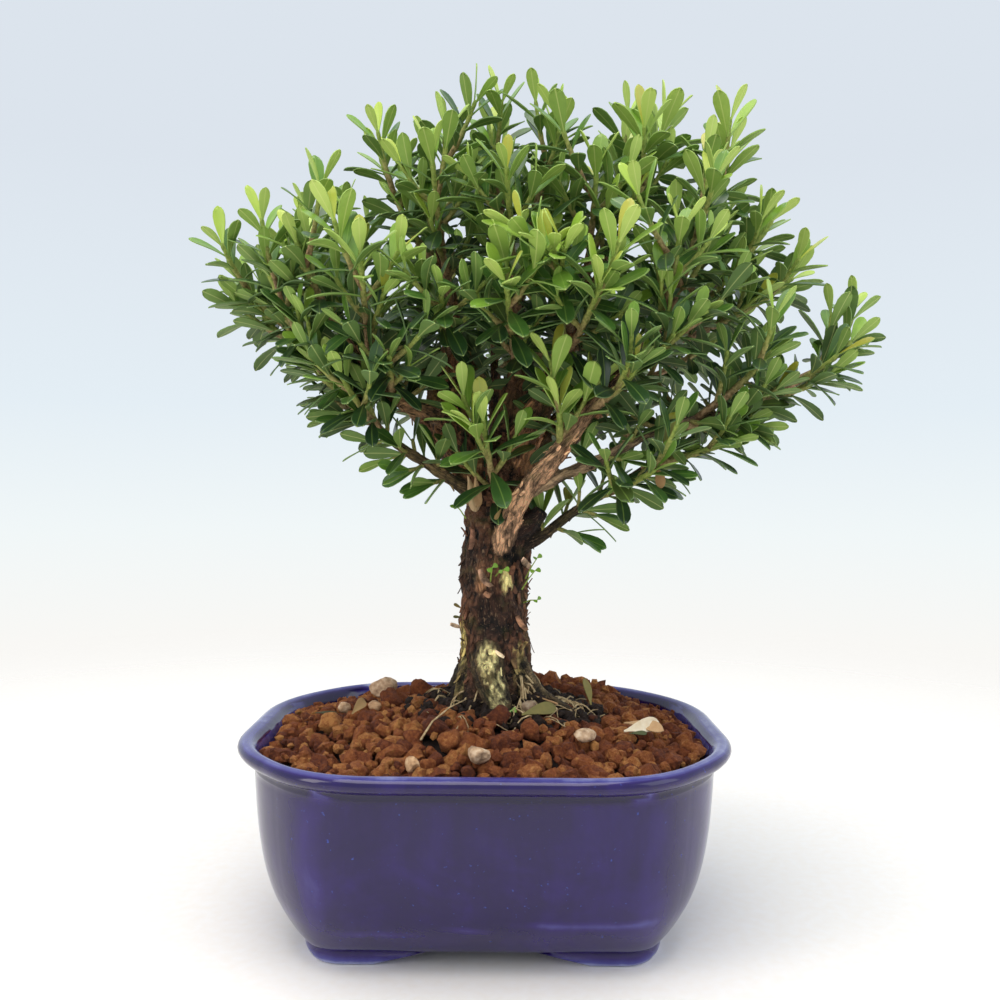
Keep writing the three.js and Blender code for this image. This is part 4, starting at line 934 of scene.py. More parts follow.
# %% Spray plan
SPRAYS = [  # limb, place along it, the outermost leaves' place in mm, 1 if it has a long side stem
    ("low_left", 0.98, -74, -6, 186, 1), ("low_left", 0.86, -69, -4, 177, 0),
    ("low_left", 0.72, -63, -22, 190, 1), ("low_left", 0.56, -52, -17, 163, 0),
    ("low_left", 0.42, -41, -33, 157, 0), ("mid_left", 0.98, -53, -28, 194, 1),
    ("mid_left", 0.86, -60, 8, 204, 1), ("mid_left", 0.68, -32, -42, 188, 1),
    ("mid_left", 0.5, -25, -38, 160, 0), ("left_bough", 0.98, -13, 4, 236, 1),
    ("left_bough", 0.86, -35, 4, 226, 1), ("left_bough", 0.78, -16, -26, 219, 1),
    ("left_bough", 0.6, -12, -42, 174, 0), ("centre_bough", 0.98, -1, 10, 237, 1),
    ("centre_bough", 0.9, 20, -6, 232, 0), ("centre_bough", 0.82, -4, 32, 229, 1),
    ("centre_bough", 0.74, 22, 28, 228, 1), ("centre_bough", 0.62, 4, -34, 212, 1),
    ("centre_bough", 0.42, 4, -46, 178, 0), ("right_bough", 0.98, 41, 6, 230, 1),
    ("right_bough", 0.88, 29, -26, 216, 1), ("right_bough", 0.8, 52, -6, 234, 1),
    ("right_bough", 0.66, 15, -47, 186, 0), ("right_bough", 0.5, 30, -48, 178, 1),
    ("front_branch", 0.98, 61, -18, 214, 1), ("front_branch", 0.9, 50, -38, 196, 1),
    ("front_branch", 0.76, 58, -35, 172, 1), ("front_branch", 0.6, 41, -43, 158, 0),
    ("right_mid", 0.98, 71, 0, 229, 1), ("right_mid", 0.88, 87, 3, 208, 1),
    ("right_mid", 0.74, 97, 8, 190, 0), ("right_fork", 0.98, 108, -8, 170, 1),
    ("right_fork", 0.84, 101, -2, 158, 0), ("right_fork", 0.66, 80, -24, 166, 1),
    ("right_fork", 0.56, 82, -12, 138, 0), ("low_right", 0.98, 70, -21, 138, 0),
    ("low_right", 0.66, 49, -32, 131, 0), ("back_left", 0.98, -58, 34, 198, 1),
    ("back_left", 0.84, -42, 55, 187, 1), ("back_left", 0.7, -48, 30, 221, 1),
    ("back_centre", 0.98, 2, 66, 197, 1), ("back_centre", 0.76, -2, 68, 168, 0),
    ("back_right", 0.98, 66, 38, 203, 1), ("back_right", 0.84, 44, 57, 196, 1),
    ("back_right", 0.7, 84, 27, 180, 0), ("back_left", 0.56, -68, 24, 176, 0),
    ("back_centre", 0.6, -22, 60, 212, 0), ("back_right", 0.5, 38, 62, 168, 0),
    ("trunk", 0.8, -2, -27, 147, 0), ("front_branch", 0.46, 19, -25, 152, 0),
]
FRESH_SPRAYS = {"right_bough_spray_4", "right_bough_spray_5", "centre_bough_spray_6", "mid_left_spray_3",
                "trunk_spray_1", "front_branch_spray_5", "right_bough_spray_3", "right_mid_spray_1"}
TIP_LEAVES = 9.4  # mm that the leaves reach past the tip of a stem
BEND_OUT, BEND_UP = 0.6, 0.38  # how much of its way out and of its rise a stem has made at its bend
SIDE_STEM_LENGTH = 20.0
GOLDEN_TURN = 2.4  # radians from one side shoot to the next


def point_on(name, share):
    """The place a share of the way along a limb, by its length."""
    points = [spot for spot, _ in limb_points[name]]
    lengths = [(q - p).length for p, q in zip(points, points[1:])]
    rest = share * sum(lengths)
    for start, length, end in zip(points, lengths, points[1:]):
        if rest <= length:
            return start.lerp(end, rest / length)
        rest -= length
    return points[-1]


def shoot_look(tip, fresh, chance):
    """How a shoot's leaves are: brightest on top of the crown and in the fresh sprays."""
    high = smoothstep(135, 225, tip.z)
    outward = smoothstep(20, 90, Vector((tip.x, tip.y)).length)
    youth = 0.92 if fresh else 0.36 + 0.34 * high + 0.14 * outward + chance.uniform(-0.16, 0.2)
    return {
        "spacing": chance.uniform(4.4, 5.3), "turn": chance.uniform(0, math.pi),
        "size": 1.08 if fresh else 0.96, "youth": youth, "fade": 2.4 if fresh else 1.7,
        "base": 0.03 + 0.09 * high, "bronze": 0.75 if fresh or chance.random() < 0.16 else 0.0,
        "young_stem": 0.9}


# %% Grow the sprays
seen = {}
leaf_faces = 0
for number, (limb, share, x, y, z, has_side) in enumerate(SPRAYS):
    seen[limb] = seen.get(limb, 0) + 1
    name = f"{limb}_spray_{seen[limb]}"
    chance = random.Random(100 + number)
    start, tip = point_on(limb, share), Vector((x, y, z))
    way = tip - start
    bend = start + Vector((way.x * BEND_OUT, way.y * BEND_OUT, way.z * BEND_UP))
    tip = tip - (tip - bend).normalized() * TIP_LEAVES
    fresh = name in FRESH_SPRAYS
    spray_bm, layer = start_piece("leaf_tone")
    reach = (tip - start).length
    add_shoot(spray_bm, layer, (start, bend, tip), (1.05, 0.6), shoot_look(tip, fresh, chance), chance,
              least_share=0.22 if reach > 35 else 0.12)
    side_count = max(has_side, round(reach / 8))
    for k in range(side_count):
        at = max(0.2, 0.76 - 0.58 * k / max(side_count - 1, 1)) if k or not has_side else 0.7
        turned = number * GOLDEN_TURN + k * GOLDEN_TURN
        foot = bend_point(start, bend, tip, at)
        along = (bend - start).lerp(tip - bend, at).normalized()
        across = Vector((0, 0, 1)).cross(along).normalized()
        outward = across * math.cos(turned) + along.cross(across) * math.sin(turned) * 0.5 * (k > 0)
        heading = (outward + Vector((0, 0, 0.55)) + along * 0.75).normalized()
        length = SIDE_STEM_LENGTH * (0.85 + 0.3 * draw(number, 1)) * (1.05 if k == 0 and has_side else 0.75)
        length = length * chance.uniform(0.85, 1.1)
        middle = foot + Vector((heading.x * 0.6, heading.y * 0.6, heading.z * 0.4)) * length
        end = foot + heading * length
        look = shoot_look(end, fresh and k < 2, chance)
        look["youth"] *= 0.85
        add_shoot(spray_bm, layer, (foot, middle, end), (0.75, 0.5), look, chance)
    leaf_faces += len(spray_bm.faces)
    finish_piece(spray_bm, f"{name}_leaves", LEAFY, [name])
print("faces in all sprays:", leaf_faces)

# %% Short spurs inside the crown
# Old wood carries short spurs of small dark leaves, which close the gaps between the sprays. Their leaves
# are partly darker because they are older, and partly darker as painted shade for the inside of the crown.
SPUR_LIMBS = ("left_bough", "centre_bough", "right_bough", "front_branch", "right_fork", "low_left",
              "mid_left", "right_mid", "back_left", "back_centre", "back_right")
SPURS_PER_LIMB = 10
OPEN_BELOW = 190  # under this height in mm the boughs stay bare on the side that faces front
chance = random.Random(7)
for limb in SPUR_LIMBS:
    spur_bm, layer = start_piece("leaf_tone")
    for k in range(SPURS_PER_LIMB):
        foot = point_on(limb, 0.42 + 0.54 * (k + chance.random()) / SPURS_PER_LIMB)
        angle = chance.uniform(0, 2 * math.pi)
        heading = Vector((math.cos(angle), math.sin(angle), chance.uniform(0.15, 0.9))).normalized()
        if foot.z < OPEN_BELOW:
            heading.y = abs(heading.y)
        length = chance.uniform(9, 20)
        end = foot + heading * length
        look = shoot_look(end, False, chance)
        # The spurs' leaves are painted darker: partly older leaves, partly painted shade inside the crown.
        look.update(youth=look["youth"] * 0.4, base=0.04, size=0.92, young_stem=0.4)
        middle = foot + heading * length * 0.5 - Vector((0, 0, 1))
        add_shoot(spur_bm, layer, (foot, middle, end), (0.8, 0.5), look, chance)
    finish_piece(spur_bm, f"{limb}_spurs", LEAFY)

# %% Twigs on the thin low limbs
# The thin low limbs keep pairs of long old leaves on twigs of a few millimetres, close to the bare wood.
LOW_TWIGS = {  # how many twigs, and the stretch of the limb that they stand on
    "low_left": (16, 0.14, 0.66), "low_right": (10, 0.2, 0.96), "right_fork": (12, 0.2, 0.96)}
chance = random.Random(8)
for limb, (twigs, start, stop) in LOW_TWIGS.items():
    twig_bm, layer = start_piece("leaf_tone")
    for k in range(twigs):
        share = start + (stop - start) * (k + chance.random()) / twigs
        foot = point_on(limb, share)
        along = (point_on(limb, share + 0.03) - foot).normalized()
        across = along.cross(Vector((0, 1, 0))).normalized()
        turned = k * GOLDEN_TURN + chance.uniform(-0.5, 0.5)
        heading = along * 0.7 + across * math.cos(turned) + along.cross(across) * math.sin(turned)
        end = foot + heading.normalized() * chance.uniform(4.5, 8)
        look = shoot_look(end, False, chance)
        look.update(youth=look["youth"] * 0.6, base=0.1, size=1.0, young_stem=0.5)
        middle = foot.lerp(end, 0.5) - Vector((0, 0, 0.5))
        add_shoot(twig_bm, layer, (foot, middle, end), (0.6, 0.4), look, chance)
    finish_piece(twig_bm, f"{limb}_twigs", LEAFY)

# %% [markdown]
# ## Soil
# The bed is reddish baked clay in rough grains, the kind that is crushed, fired and sieved. It lies on
# packed earth, heaped towards the trunk, where dark humus and fine roots show. The packed earth is a closed
# body that fills the pot; each grain is a small sphere, flattened on random planes as a crushed lump is and
# roughened by noise, with its own tint. They lie on a jittered six-sided grid, with small crumbs between.

# %% Bed height and grain shapes
BED_HALF = (59.4, 52.0)
BED_TOP, BED_EDGE = 60.0, 50.2
HEAP = 4.4
GAP = 0.35  # the CAD's gap to the wall


def back_heap(x, y):
    """The grains are heaped higher at the back right, where they hide the rim."""
    return HEAP * smoothstep(28, 12, abs(x - 22)) * smoothstep(14, 34, y) * smoothstep(51, 44, y)


def bed_height(x, y):
    away = math.hypot(x / BED_HALF[0], y / BED_HALF[1])
    return mix(BED_TOP, BED_EDGE, min(1.0, away) ** 1.6) + back_heap(x, y)


def room_to_wall(x, y):
    """How far a point lies inside the pot's rim."""
    return min(60.0 - abs(x), 52.6 - abs(y), 63.2 - toward_chamfer(x, y))


def humus_share(x, y):
    """1 on the dark humus round the trunk's foot, 0 out on the baked clay."""
    return smoothstep(1.2, 0.8, math.hypot((x - 8) / 27, (y + 2) / 18))


def ball(detail):
    """A sphere to crush; the finer ones, for worn stones, are shaded round."""
    bm = bmesh.new()
    bmesh.ops.create_icosphere(bm, subdivisions=detail, radius=1)
    for face in bm.faces:
        face.smooth = detail > 2
    return to_mesh(bm, "ball")


balls = {detail: ball(detail) for detail in (1, 2, 3, 4)}


def add_lump(bm, layer, centre, size, chance, tint, detail=2, rough=0.24, flats=6):
    """A crushed grain or stone: a sphere flattened on random planes, stretched and roughened."""
    planes = [(Vector((chance.gauss(0, 1), chance.gauss(0, 1), chance.gauss(0, 1))).normalized(),
               chance.uniform(0.55, 0.85)) for _ in range(flats)]
    stretch = Vector((chance.uniform(0.85, 1.15), chance.uniform(0.8, 1.1), chance.uniform(0.7, 1.0)))
    turned = Matrix.Rotation(chance.uniform(0, math.pi), 3, planes[0][0])
    offset = planes[1][0] * 50
    first = len(bm.verts)
    bm.from_mesh(balls[detail])
    for vert in added(bm.verts, first):
        spot = vert.co.copy()
        for normal, least in planes:
            spot -= normal * max(0.0, spot.dot(normal) - least) * 0.85
        waves = rough * noise.noise(spot * 1.7 + offset)
        grit = 0.7 * rough * noise.noise(spot * 4.3 + offset)
        spot *= 1 + waves + grit
        vert.co = Vector(centre) + turned @ (spot * stretch) * (size / 2)
        vert[layer] = (*tint, 1.0)


# %% Packed earth
def bed_level(x, y, inset):
    lumps = noise.noise(Vector((x, y, 0)) / 3.1) * 1.1
    return bed_height(x, y) - 2.6 + lumps * smoothstep(7.5, 12, inset)


bed_bm, layer = start_piece("grain_tint")
earth_wall = [(inset + GAP, z) for inset, z in reversed(INNER_WALL)]
earth_wall[0] = (earth_wall[0][0], FLOOR_TOP + GAP)
bed_rings = stack_rings(bed_bm, earth_wall + [(inset, bed_level) for inset in range(9, 53, 3)])
close_ring(bed_bm, bed_rings[0], FLOOR_TOP + GAP)
close_ring(bed_bm, bed_rings[-1], BED_TOP - 3)
smooth_outward(bed_bm)
for vert in bed_bm.verts:
    vert[layer] = (0.1, 0.1, 1.0, 1.0)
print("earth faces:", len(bed_bm.faces))

# %% Grains
GRAIN_PITCH = 4.0
JITTER = 1.4
GRAIN_SIZES = (3.0, 3.4, 3.9, 4.4, 5.0, 5.8)
TRUNK_FOOT = Vector((3.5, -2, 0))
LARGE_GRAINS = [  # x, y, size and tint
    (-27.5, 2, 8.5, 0.2), (-12.5, -27, 7.5, 0.1), (3, -21, 8, 0.15), (-9, -34, 7, 0.5),
    (-43, -12, 7, 0.7), (-20, 12, 8, 0.3), (12, -28, 6.5, 0.35), (28, 18, 7.5, 0.2)]


def to_trunk(x, y):
    return (Vector((x, y, 0)) - TRUNK_FOOT).length


chance = random.Random(21)
for x, y, size, tint in LARGE_GRAINS:
    add_lump(bed_bm, layer, (x, y, bed_height(x, y) + 0.8), size, chance, (tint, 0.3, 0.0), detail=3)
middling = 0
for j in range(-15, 16):
    for i in range(-16, 17):
        x = (i + 0.5 * (j % 2)) * GRAIN_PITCH + chance.uniform(-JITTER, JITTER)
        y = j * GRAIN_PITCH * 0.866 + chance.uniform(-JITTER, JITTER)
        size = chance.choice(GRAIN_SIZES) * chance.uniform(0.9, 1.1)
        if room_to_wall(x, y) < size * 0.45 or any(
                math.hypot(x - p, y - q) < (size + s) * 0.38 for p, q, s, _ in LARGE_GRAINS):
            continue
        if to_trunk(x, y) < 12 + size / 2 or chance.random() < 0.8 * humus_share(x, y):
            continue
        z = bed_height(x, y) + chance.uniform(-1.2, 0.8) - 0.12 * size
        tint = (0.08 + 0.6 * chance.random(), chance.random(), humus_share(x, y) * chance.uniform(0.1, 0.7))
        add_lump(bed_bm, layer, (x, y, z), size * 1.2, chance, tint, 2, 0.36, 7)
        middling += 1
print("large and middling grains:", middling + len(LARGE_GRAINS))

# %% Crumbs and humus
CRUMBS = 900
HUMUS = 760
for _ in range(CRUMBS):
    x, y = chance.uniform(-59, 59), chance.uniform(-52, 52)
    size = chance.uniform(1.4, 3.2)
    if room_to_wall(x, y) < 1 or to_trunk(x, y) < 13:
        continue
    tint = (0.8 * chance.random(), chance.random(), humus_share(x, y))
    z = bed_height(x, y) + chance.uniform(-1.6, 1.4)
    add_lump(bed_bm, layer, (x, y, z), size, chance, tint, 1)
for _ in range(HUMUS):
    angle, away = chance.uniform(0, 2 * math.pi), 9 + 14 * chance.random()
    x, y = 6 + math.cos(angle) * away * 1.25, TRUNK_FOOT.y + math.sin(angle) * away
    z = bed_height(x, y) + chance.uniform(-1.6, 0.9) + 3.4 * smoothstep(16, 8, away)
    size = chance.uniform(1.6, 4.2)
    add_lump(bed_bm, layer, (x, y, z), size, chance, (0.3, chance.random(), 1.0), 1, 0.3)
print("soil faces:", len(bed_bm.faces))

# %% Soil finish
# Crushed baked clay is porous: pitted, quite matt, from dark brown to orange. Its tone follows the noise of
# its
# relief: partly the clay's own mottle, partly painted shade in the pits and painted light on the crests.
baked_clay, tree, shader = start_material("crushed_baked_clay", Roughness=0.96)
stored = add(tree, "ShaderNodeAttribute", attribute_name="grain_tint")
tint = add(tree, "ShaderNodeSeparateColor", {"Color": stored.outputs["Color"]}).outputs
where = add(tree, "ShaderNodeTexCoord").outputs["Object"]
pitted_relief_and_painted_light = add(tree, "ShaderNodeTexNoise", {"Vector": where, "Scale": per_mm(1.4), "Detail": 6.0,
                                        "Roughness": 0.8}).outputs["Fac"]
# Painted shade in the pits and painted light on the crests: the tone rises with the relief's noise, over each
# grain's tint.
shade = add(tree, "ShaderNodeMath", {0: pitted_relief_and_painted_light, 1: 1.5, 2: tint["Red"]}, **SUM)
shade = add(tree, "ShaderNodeMath", {0: shade.outputs["Value"], 1: 0.48}, operation="SUBTRACT")
clay = add(tree, "ShaderNodeValToRGB", {"Fac": shade.outputs["Value"]}, stops=[
    (0.1, "#3c190c"), (0.35, "#672f14"), (0.6, "#8e4a21"), (0.85, "#b06a35"), (1.0, "#cb8c4c")])
humus = add(tree, "ShaderNodeValToRGB", {"Fac": pitted_relief_and_painted_light}, stops=[(0.35, "#170d07"), (0.7, "#3b2617")])
ground = add(tree, "ShaderNodeMix", {0: tint["Blue"], 6: clay.outputs["Color"],
                                     7: humus.outputs["Color"]}, **COLOURS)
dress(tree, shader, ground.outputs[2], pitted_relief_and_painted_light, 2.0)
finish_piece(bed_bm, "soil_and_grains", [baked_clay], ["soil"])

# %% [markdown]
# ## Stones, fallen leaves and fine roots
# Pale stones, old leaves and a straw twig lie among the grains, and fine roots creep over the humus.

# %% Pebbles
stone, tree, shader = start_material("weathered_quartz_pebble", Roughness=0.8)
tint = add(tree, "ShaderNodeAttribute", attribute_name="grain_tint")
where = add(tree, "ShaderNodeTexCoord").outputs["Object"]
vein = add(tree, "ShaderNodeTexNoise", {"Vector": where, "Scale": per_mm(1.6), "Detail": 5.0})
mineral = add(tree, "ShaderNodeValToRGB", {"Fac": vein.outputs["Fac"]}, stops=[
    (0.3, "#7d6650"), (0.5, "#b99d80"), (0.7, "#d9c7ad")])
tinted = add(tree, "ShaderNodeMix", {0: 1.0, 6: mineral.outputs["Color"], 7: tint.outputs["Color"]},
             blend_type="MULTIPLY", **COLOURS)
dress(tree, shader, tinted.outputs[2], vein.outputs["Fac"], 0.3)
STONES = [  # name, node it replaces, x, y, height over the bed, size, tint
    ("pebble_back_left_stone", "pebble_back_left", -31, 10, 2.3, (9.4, 7.4, 6.6), (0.95, 0.86, 0.78)),
    ("pebble_right_stone", "pebble_right", 26, -32, 2.0, (6.6, 4.8, 4.0), (1.0, 0.94, 0.88)),
    ("pebble_front_stone", "pebble_front", -1, -46, 2.0, (8.4, 5.6, 4.6), (1.0, 0.93, 0.85)),
    ("pebble_far_left_stone", None, -41.5, 2, 1.6, (5.0, 4.0, 3.6), (1.0, 0.9, 0.8)),
    ("pebble_tan_stone", None, -32, -4.5, 1.6, (5.2, 4.2, 3.8), (0.9, 0.72, 0.55)),
    ("pebble_front_left_stone", None, -17.5, -46, 1.4, (6.0, 4.4, 3.8), (1.0, 0.82, 0.62)),
    ("pebble_grey_stone", None, 12, -16, 2.4, (4.8, 4.4, 4.2), (0.5, 0.47, 0.44)),
]
for number, (name, replaced, x, y, rise, size, tint) in enumerate(STONES):
    centre = Vector((x, y, bed_height(x, y) + rise))
    if replaced:
        low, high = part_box(replaced)
        centre = ((low + high) / 2 - POT_MIDDLE) / MM
    stone_bm, layer = start_piece("grain_tint")
    add_lump(stone_bm, layer, (0, 0, 0), 1, random.Random(300 + number), tint, 4, 0.1, 6)
    lie = Matrix.Translation(centre) @ Matrix.Rotation(3 * draw(number + 1, 11), 4, "Z")
    bmesh.ops.transform(stone_bm, matrix=lie @ Matrix.Diagonal((*size, 1)), verts=stone_bm.verts)
    finish_piece(stone_bm, name, [stone], [replaced] if replaced else ())

# %% Fallen leaves
# A fallen boxwood leaf dries from olive to straw and then to cream, and curls.
dry_leaf, tree, shader = start_material("dried_boxwood_leaf", Roughness=0.8)
_, stain, age = leaf_age(tree, 1.8, 4.0, 0.14)
dried = add(tree, "ShaderNodeValToRGB", {"Fac": age}, stops=[
    (0.05, "#3a2617"), (0.3, "#4b5230"), (0.5, "#85783f"), (0.7, "#b98f63"), (0.88, "#d9c199"),
    (1.1, "#efe6d0")])
dress(tree, shader, dried.outputs["Color"], stain, 0.12)
FALLEN = [  # name, slot, node it replaces, x, y, rise, heading, tilt, roll, size, arch, fold, tone
    ("fallen_leaf_centre_blade", "fallen_leaf", "fallen_leaf_centre",
     10, -22, 2.6, 0.55, -0.15, 0.5, 0.85, 0.1, 0.25, 0.36),
    ("dried_leaf_right_blade", "dried_leaf", "dried_leaf_right",
     37, -26, 3.4, 0.5, -0.12, 0.75, 0.88, 0.05, 0.2, 0.86),
    ("straw_leaf_right_blade", "dried_leaf", None,
     20, -13, 3.4, 2.4, -0.1, 0.2, 1.0, 0.15, 0.5, 0.62),
    ("upright_leaf_right_blade", "fallen_leaf", None,
     30, -6, 2.6, 1.75, -0.95, 0.15, 0.66, 0.15, 0.25, 0.4),
    ("tan_leaf_right_blade", "dried_leaf", None,
     38, -18, 2.8, -0.6, -0.15, 0.2, 0.85, 0.2, 0.3, 0.66),
    ("leaf_fragment_blade", "fallen_leaf", None,
     38, -28, 3.8, 0.1, -0.1, 0.2, 0.36, 0.1, 0.1, 0.22),
    ("yellow_leaf_left_blade", "dried_leaf", None,
     -37, -13, 2.8, 1.2, -0.35, 0.6, 0.66, 0.15, 0.6, 0.55),
    ("dark_leaf_left_blade", "fallen_leaf", None,
     -49, -3, 2.8, 0.2, -0.05, 0.1, 0.5, 0.2, 0.2, 0.12),
]
for name, kind, replaced, x, y, rise, heading, tilt, roll, size, arch, fold, tone in FALLEN:
    fallen_bm, layer = start_piece("leaf_tone")
    place = (Matrix.Translation((x, y, bed_height(x, y) + rise)) @ Matrix.Rotation(heading, 4, "Z")
             @ Matrix.Rotation(tilt, 4, "Y") @ Matrix.Rotation(roll, 4, "X"))
    add_leaf(fallen_bm, layer, place, size, arch, fold, 0.5, (tone, 0.5, 0.0))
    finish_piece(fallen_bm, name, [dry_leaf, dry_leaf], [replaced] if replaced else ())

# %% Fine roots and the straw twig
ROOT_STRANDS = 64
STRAW_TWIG = [(-16, -37, 56.6), (-13.6, -30, 59.6), (-9.5, -22, 61.6), (-5.2, -15, 62.4)]  # in mm
root_skin = grainy_material("dry_feeder_root", 0.85, 1.2, 3.0, [(0.3, "#8a6e48"), (0.7, "#cdb78c")], 0.08)
roots_bm = bmesh.new()
chance = random.Random(40)
for number in range(ROOT_STRANDS):
    right = number % 3 > 0
    heading = chance.uniform(-0.95, 0.25) if right else chance.uniform(-math.pi, math.pi)
    spot = TRUNK_FOOT + Vector((math.cos(heading) * 10, math.sin(heading) * 9, 0))
    radius = chance.uniform(0.16, 0.4)
    climb = chance.uniform(2, 9) if right else chance.uniform(2, 5)
    points = []
    for step in range(chance.randint(7, 15)):
        lift = 0.9 + 1.5 * math.sin(step * 0.9 + number) * (step > 0)
        high = bed_height(spot.x, spot.y) + lift + climb * smoothstep(15, 8.5, (spot - TRUNK_FOOT).length)
        points.append((Vector((spot.x, spot.y, high)), mix(radius, 0.1, step / 15)))
        heading += chance.uniform(-0.8, 0.8)
        spot = spot + Vector((math.cos(heading), math.sin(heading), 0)) * chance.uniform(1.3, 2.3)
    add_tube(roots_bm, points, 5, ends=0.1)
add_tube(roots_bm, [(Vector(spot), 0.3 - 0.05 * i) for i, spot in enumerate(STRAW_TWIG)], 6, ends=0.1)
smooth_outward(roots_bm)
finish_piece(roots_bm, "fine_roots", [root_skin])

# %% Bark plates and curls
# Old bark lifts in thin plates. Each is a small grid with its own curl, and stands off where it lifts.
plate_bm = bmesh.new()
bmesh.ops.create_grid(plate_bm, x_segments=5, y_segments=2, size=0.5)
for vert in plate_bm.verts:
    vert.co.y *= 1 - 1.4 * vert.co.x * vert.co.x
bmesh.ops.solidify(plate_bm, geom=plate_bm.faces[:], thickness=0.1)
bmesh.ops.recalc_face_normals(plate_bm, faces=plate_bm.faces)
bark_plate = to_mesh(plate_bm, "bark_plate")


def add_plate(bm, layers, spot, axis, normal, size, lift, curl, tone, grain):
    """A bark plate on the wood; size is its length, width and thickness in mm, lift its tilt off it."""
    tone_layer, grain_layer, height_layer = layers
    across = normal.cross(axis).normalized()
    flat = across.cross(normal).normalized()
    along = flat * math.cos(lift) + normal * math.sin(lift)
    normal = normal * math.cos(lift) - flat * math.sin(lift)
    first = len(bm.verts)
    bm.from_mesh(bark_plate)
    for vert in added(bm.verts, first):
        x, y, z = (vert.co.x + 0.35) * size[0], vert.co.y * size[1], vert.co.z * 10 * size[2]
        z += curl * (x * x / size[0] - 0.8 * y * y / size[1])
        vert.co = spot + along * x + across * y + normal * (z + 0.1)
        vert[tone_layer] = (*tone, 1.0)
        vert[grain_layer] = Vector(grain) + vert.co * 0.2
        vert[height_layer] = 0.25 + 0.25 * vert.normal.dot(normal)


PLATES = 720
PLATES_ABOVE = 66  # mm, clear of the soil
THINNEST_LIMB = 1.4  # mm in radius
CURLS = [  # place in mm, axis, normal, length, width, lift, curl, colour
    ((-1.5, -10.5, 97), (0.35, -0.1, -1), (0.3, -1, 0), 6.5, 2.0, 0.35, 1.1, "#94725a"),
    ((0, -10.5, 91), (0.8, -0.2, -0.6), (0, -1, 0.4), 5, 1.7, 0.5, 1.0, "#7e5a42"),
    ((12, -6, 98.5), (-0.7, -0.1, 0.5), (0.3, -1, 0), 7, 1.8, 0.5, 0.4, "#b5957c"),
    ((9, -9, 84), (0.4, 0, -1), (0.4, -1, 0), 5, 1.6, 0.4, 0.6, "#8a6248"),
    ((-4, -10, 108), (0.1, -0.1, -1), (-0.2, -1, 0), 7, 1.6, 0.4, 0.6, "#7c5642"),
    ((-8, -5, 81), (-0.9, -0.3, 0.3), (0, -1, 0.2), 4.5, 1.2, 0.7, 0.4, "#b59a80"),
    ((3, -12, 75), (0.7, -0.3, -0.5), (0, -1, 0.2), 5, 1.0, 0.7, 0.3, "#cdb795"),
]
chance = random.Random(77)
plates_bm, tone_layer = start_piece("bark_tone")
grain_layer = plates_bm.verts.layers.float_vector.new("bark_grain")
layers = (tone_layer, grain_layer, plates_bm.verts.layers.float.new("bark_height"))
placed_plates = 0
while placed_plates < PLATES:
    i = chance.randrange(count)
    radius = limb_radius[i]
    if spots[i][2] < PLATES_ABOVE or radius < THINNEST_LIMB or chance.random() > radius / 7:
        continue
    axis, normal = Vector(limb_axis[i]), Vector(normals[i])
    axis = (axis + axis.orthogonal() * chance.uniform(-0.3, 0.3)) * chance.choice((-1, 1))
    wide = min(1.0, radius / 5)
    length = chance.uniform(1.4, 3.8) * (0.5 + 0.5 * wide)
    size = (length, chance.uniform(0.7, 1.7) * wide, chance.uniform(0.15, 0.3))
    tone = Vector(tones[i]) * chance.uniform(0.7, 1.4)
    add_plate(plates_bm, layers, Vector(spots[i]), axis, normal, size, chance.uniform(0.05, 0.5),
              chance.uniform(0.05, 0.3), tone, grain_place[i])
    placed_plates += 1
for spot, axis, normal, length, width, lift, curl, colour in CURLS:
    spot, axis, normal = Vector(spot), Vector(axis), Vector(normal)
    size = (length, width, 0.3)
    add_plate(plates_bm, layers, spot, axis, normal, size, lift, curl, linear(colour)[:3], spot)
finish_piece(plates_bm, "bark_plates", [bark])

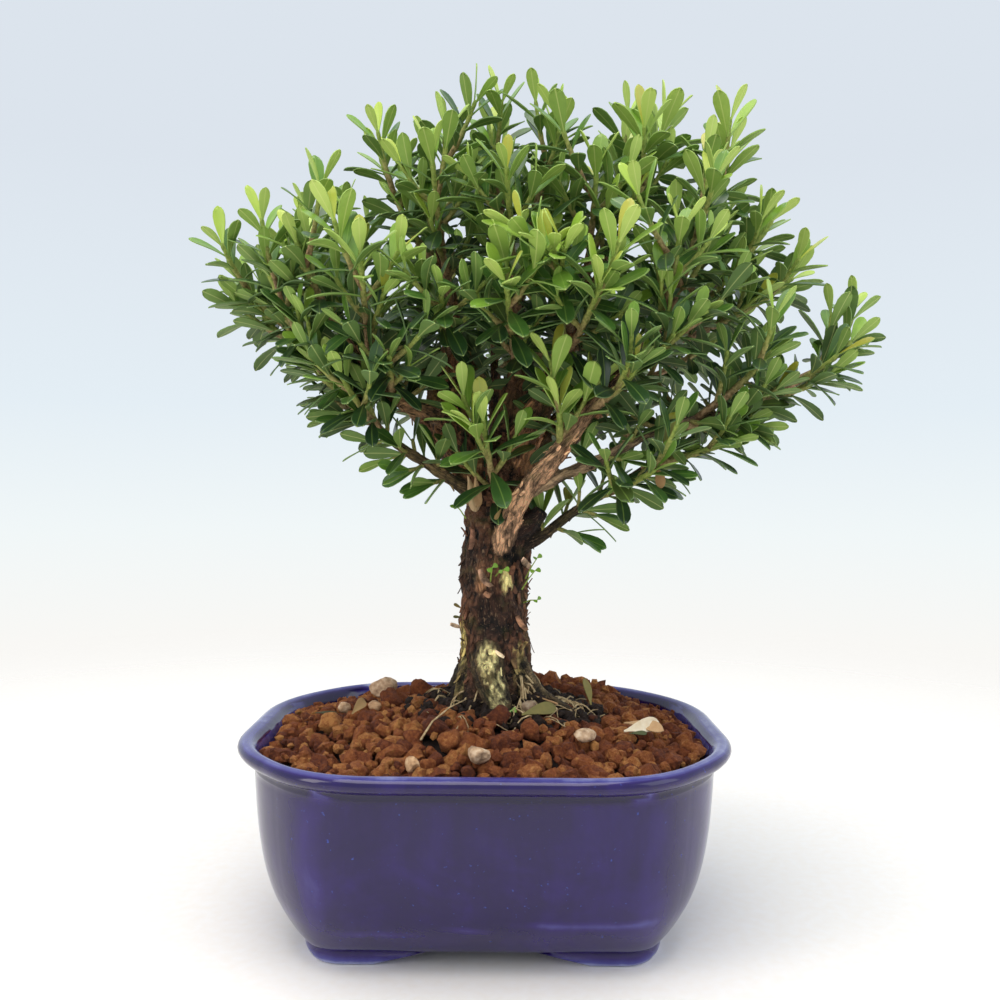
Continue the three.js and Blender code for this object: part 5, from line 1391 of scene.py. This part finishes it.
# %% Seedlings and withered leaves
# Tiny seedlings root in the rough bark, and a few withered leaves hang where they died.
SEEDLINGS = [  # foot and tip of the stalk in mm
    ((1.0, -10.5, 94), (1.6, -13, 98.6)), ((2.5, -10.5, 96), (4.6, -13.5, 98.0)),
    ((11, -6, 95), (14.2, -8, 101)), ((10, -7, 92), (13.6, -9, 97.5)),
    ((10.5, -5, 88), (14.4, -7, 89)), ((-6, -8, 112), (-9, -11, 116)), ((6, -16, 57), (7, -18, 60)),
]
seedling_bm, layer = start_piece("leaf_tone")
chance = random.Random(5)
for foot, tip in SEEDLINGS:
    foot, tip = Vector(foot), Vector(tip)
    middle = foot.lerp(tip, 0.5) + Vector((0, -0.6, 0.4))
    first, first_face = len(seedling_bm.verts), len(seedling_bm.faces)
    add_tube(seedling_bm, [(foot, 0.22), (middle, 0.18), (tip, 0.14)], 5, ends=0.1)
    for vert in added(seedling_bm.verts, first):
        vert[layer] = (1.0, 0.5, 0.0, 1.0)
    for face in added(seedling_bm.faces, first_face):
        face.material_index = 2
    for k in range(2):  # a seedling opens two seed leaves
        opened = Matrix.Rotation(k * math.pi + chance.random(), 4, "Z")
        tilted = Matrix.Rotation(chance.uniform(-0.7, 0.1), 4, "Y")
        place = (Matrix.Translation(tip) @ Matrix.Rotation(0.9, 4, "X") @ opened @ tilted
                 @ Matrix.Diagonal((0.6, 1.7, 1.0, 1.0)))
        add_leaf(seedling_bm, layer, place, chance.uniform(0.16, 0.23), 0.05, 0.1, 0.1, (0.5, 0.5, 0.0))
finish_piece(seedling_bm, "seedlings", LEAFY)
WITHERED = [  # place in mm, direction the blade hangs in, size, fold, tone
    ((-5.5, -7.5, 124), (0.25, -0.15, -1), 0.8, 2.0, 0.72),
    ((-3.4, -8.5, 124), (0.1, -0.2, -1), 0.7, 2.0, 0.66),
    ((46.5, -20, 129), (0.05, -0.1, -1), 0.62, 1.1, 0.6),
    ((4, -12, 115), (-0.5, -0.4, -0.9), 0.3, 1.6, 0.5),
    ((-7.0, -4, 86), (-0.8, -0.2, 0.5), 0.22, 1.6, 0.45),
    ((-7.0, -4, 83.5), (-0.9, -0.2, 0.1), 0.2, 1.6, 0.3),
]
withered_bm, layer = start_piece("leaf_tone")
for spot, hang, size, fold, tone in WITHERED:
    along = Vector(hang).normalized()
    across = along.cross(Vector((0, -1, 0))).normalized()
    basis = Matrix((along, across, along.cross(across))).transposed().to_4x4()
    add_leaf(withered_bm, layer, Matrix.Translation(spot) @ basis, size, 0.15, fold, 0.6, (tone, 0.5, 0.0))
finish_piece(withered_bm, "withered_leaves", [dry_leaf, dry_leaf])

# %% Drain screens
# Moulded black mesh squares lie over the drain holes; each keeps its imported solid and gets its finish.
mesh_plastic = grainy_material("moulded_black_polypropylene_mesh", 0.55, 1.5, 3.0,
                               [(0.4, "#151614"), (0.75, "#3a2c22")], 0.05)
for name in ("drain_screen_left", "drain_screen_right"):
    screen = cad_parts[name]
    screen.data.materials.clear()
    screen.data.materials.append(mesh_plastic)
    print(name, "finished")
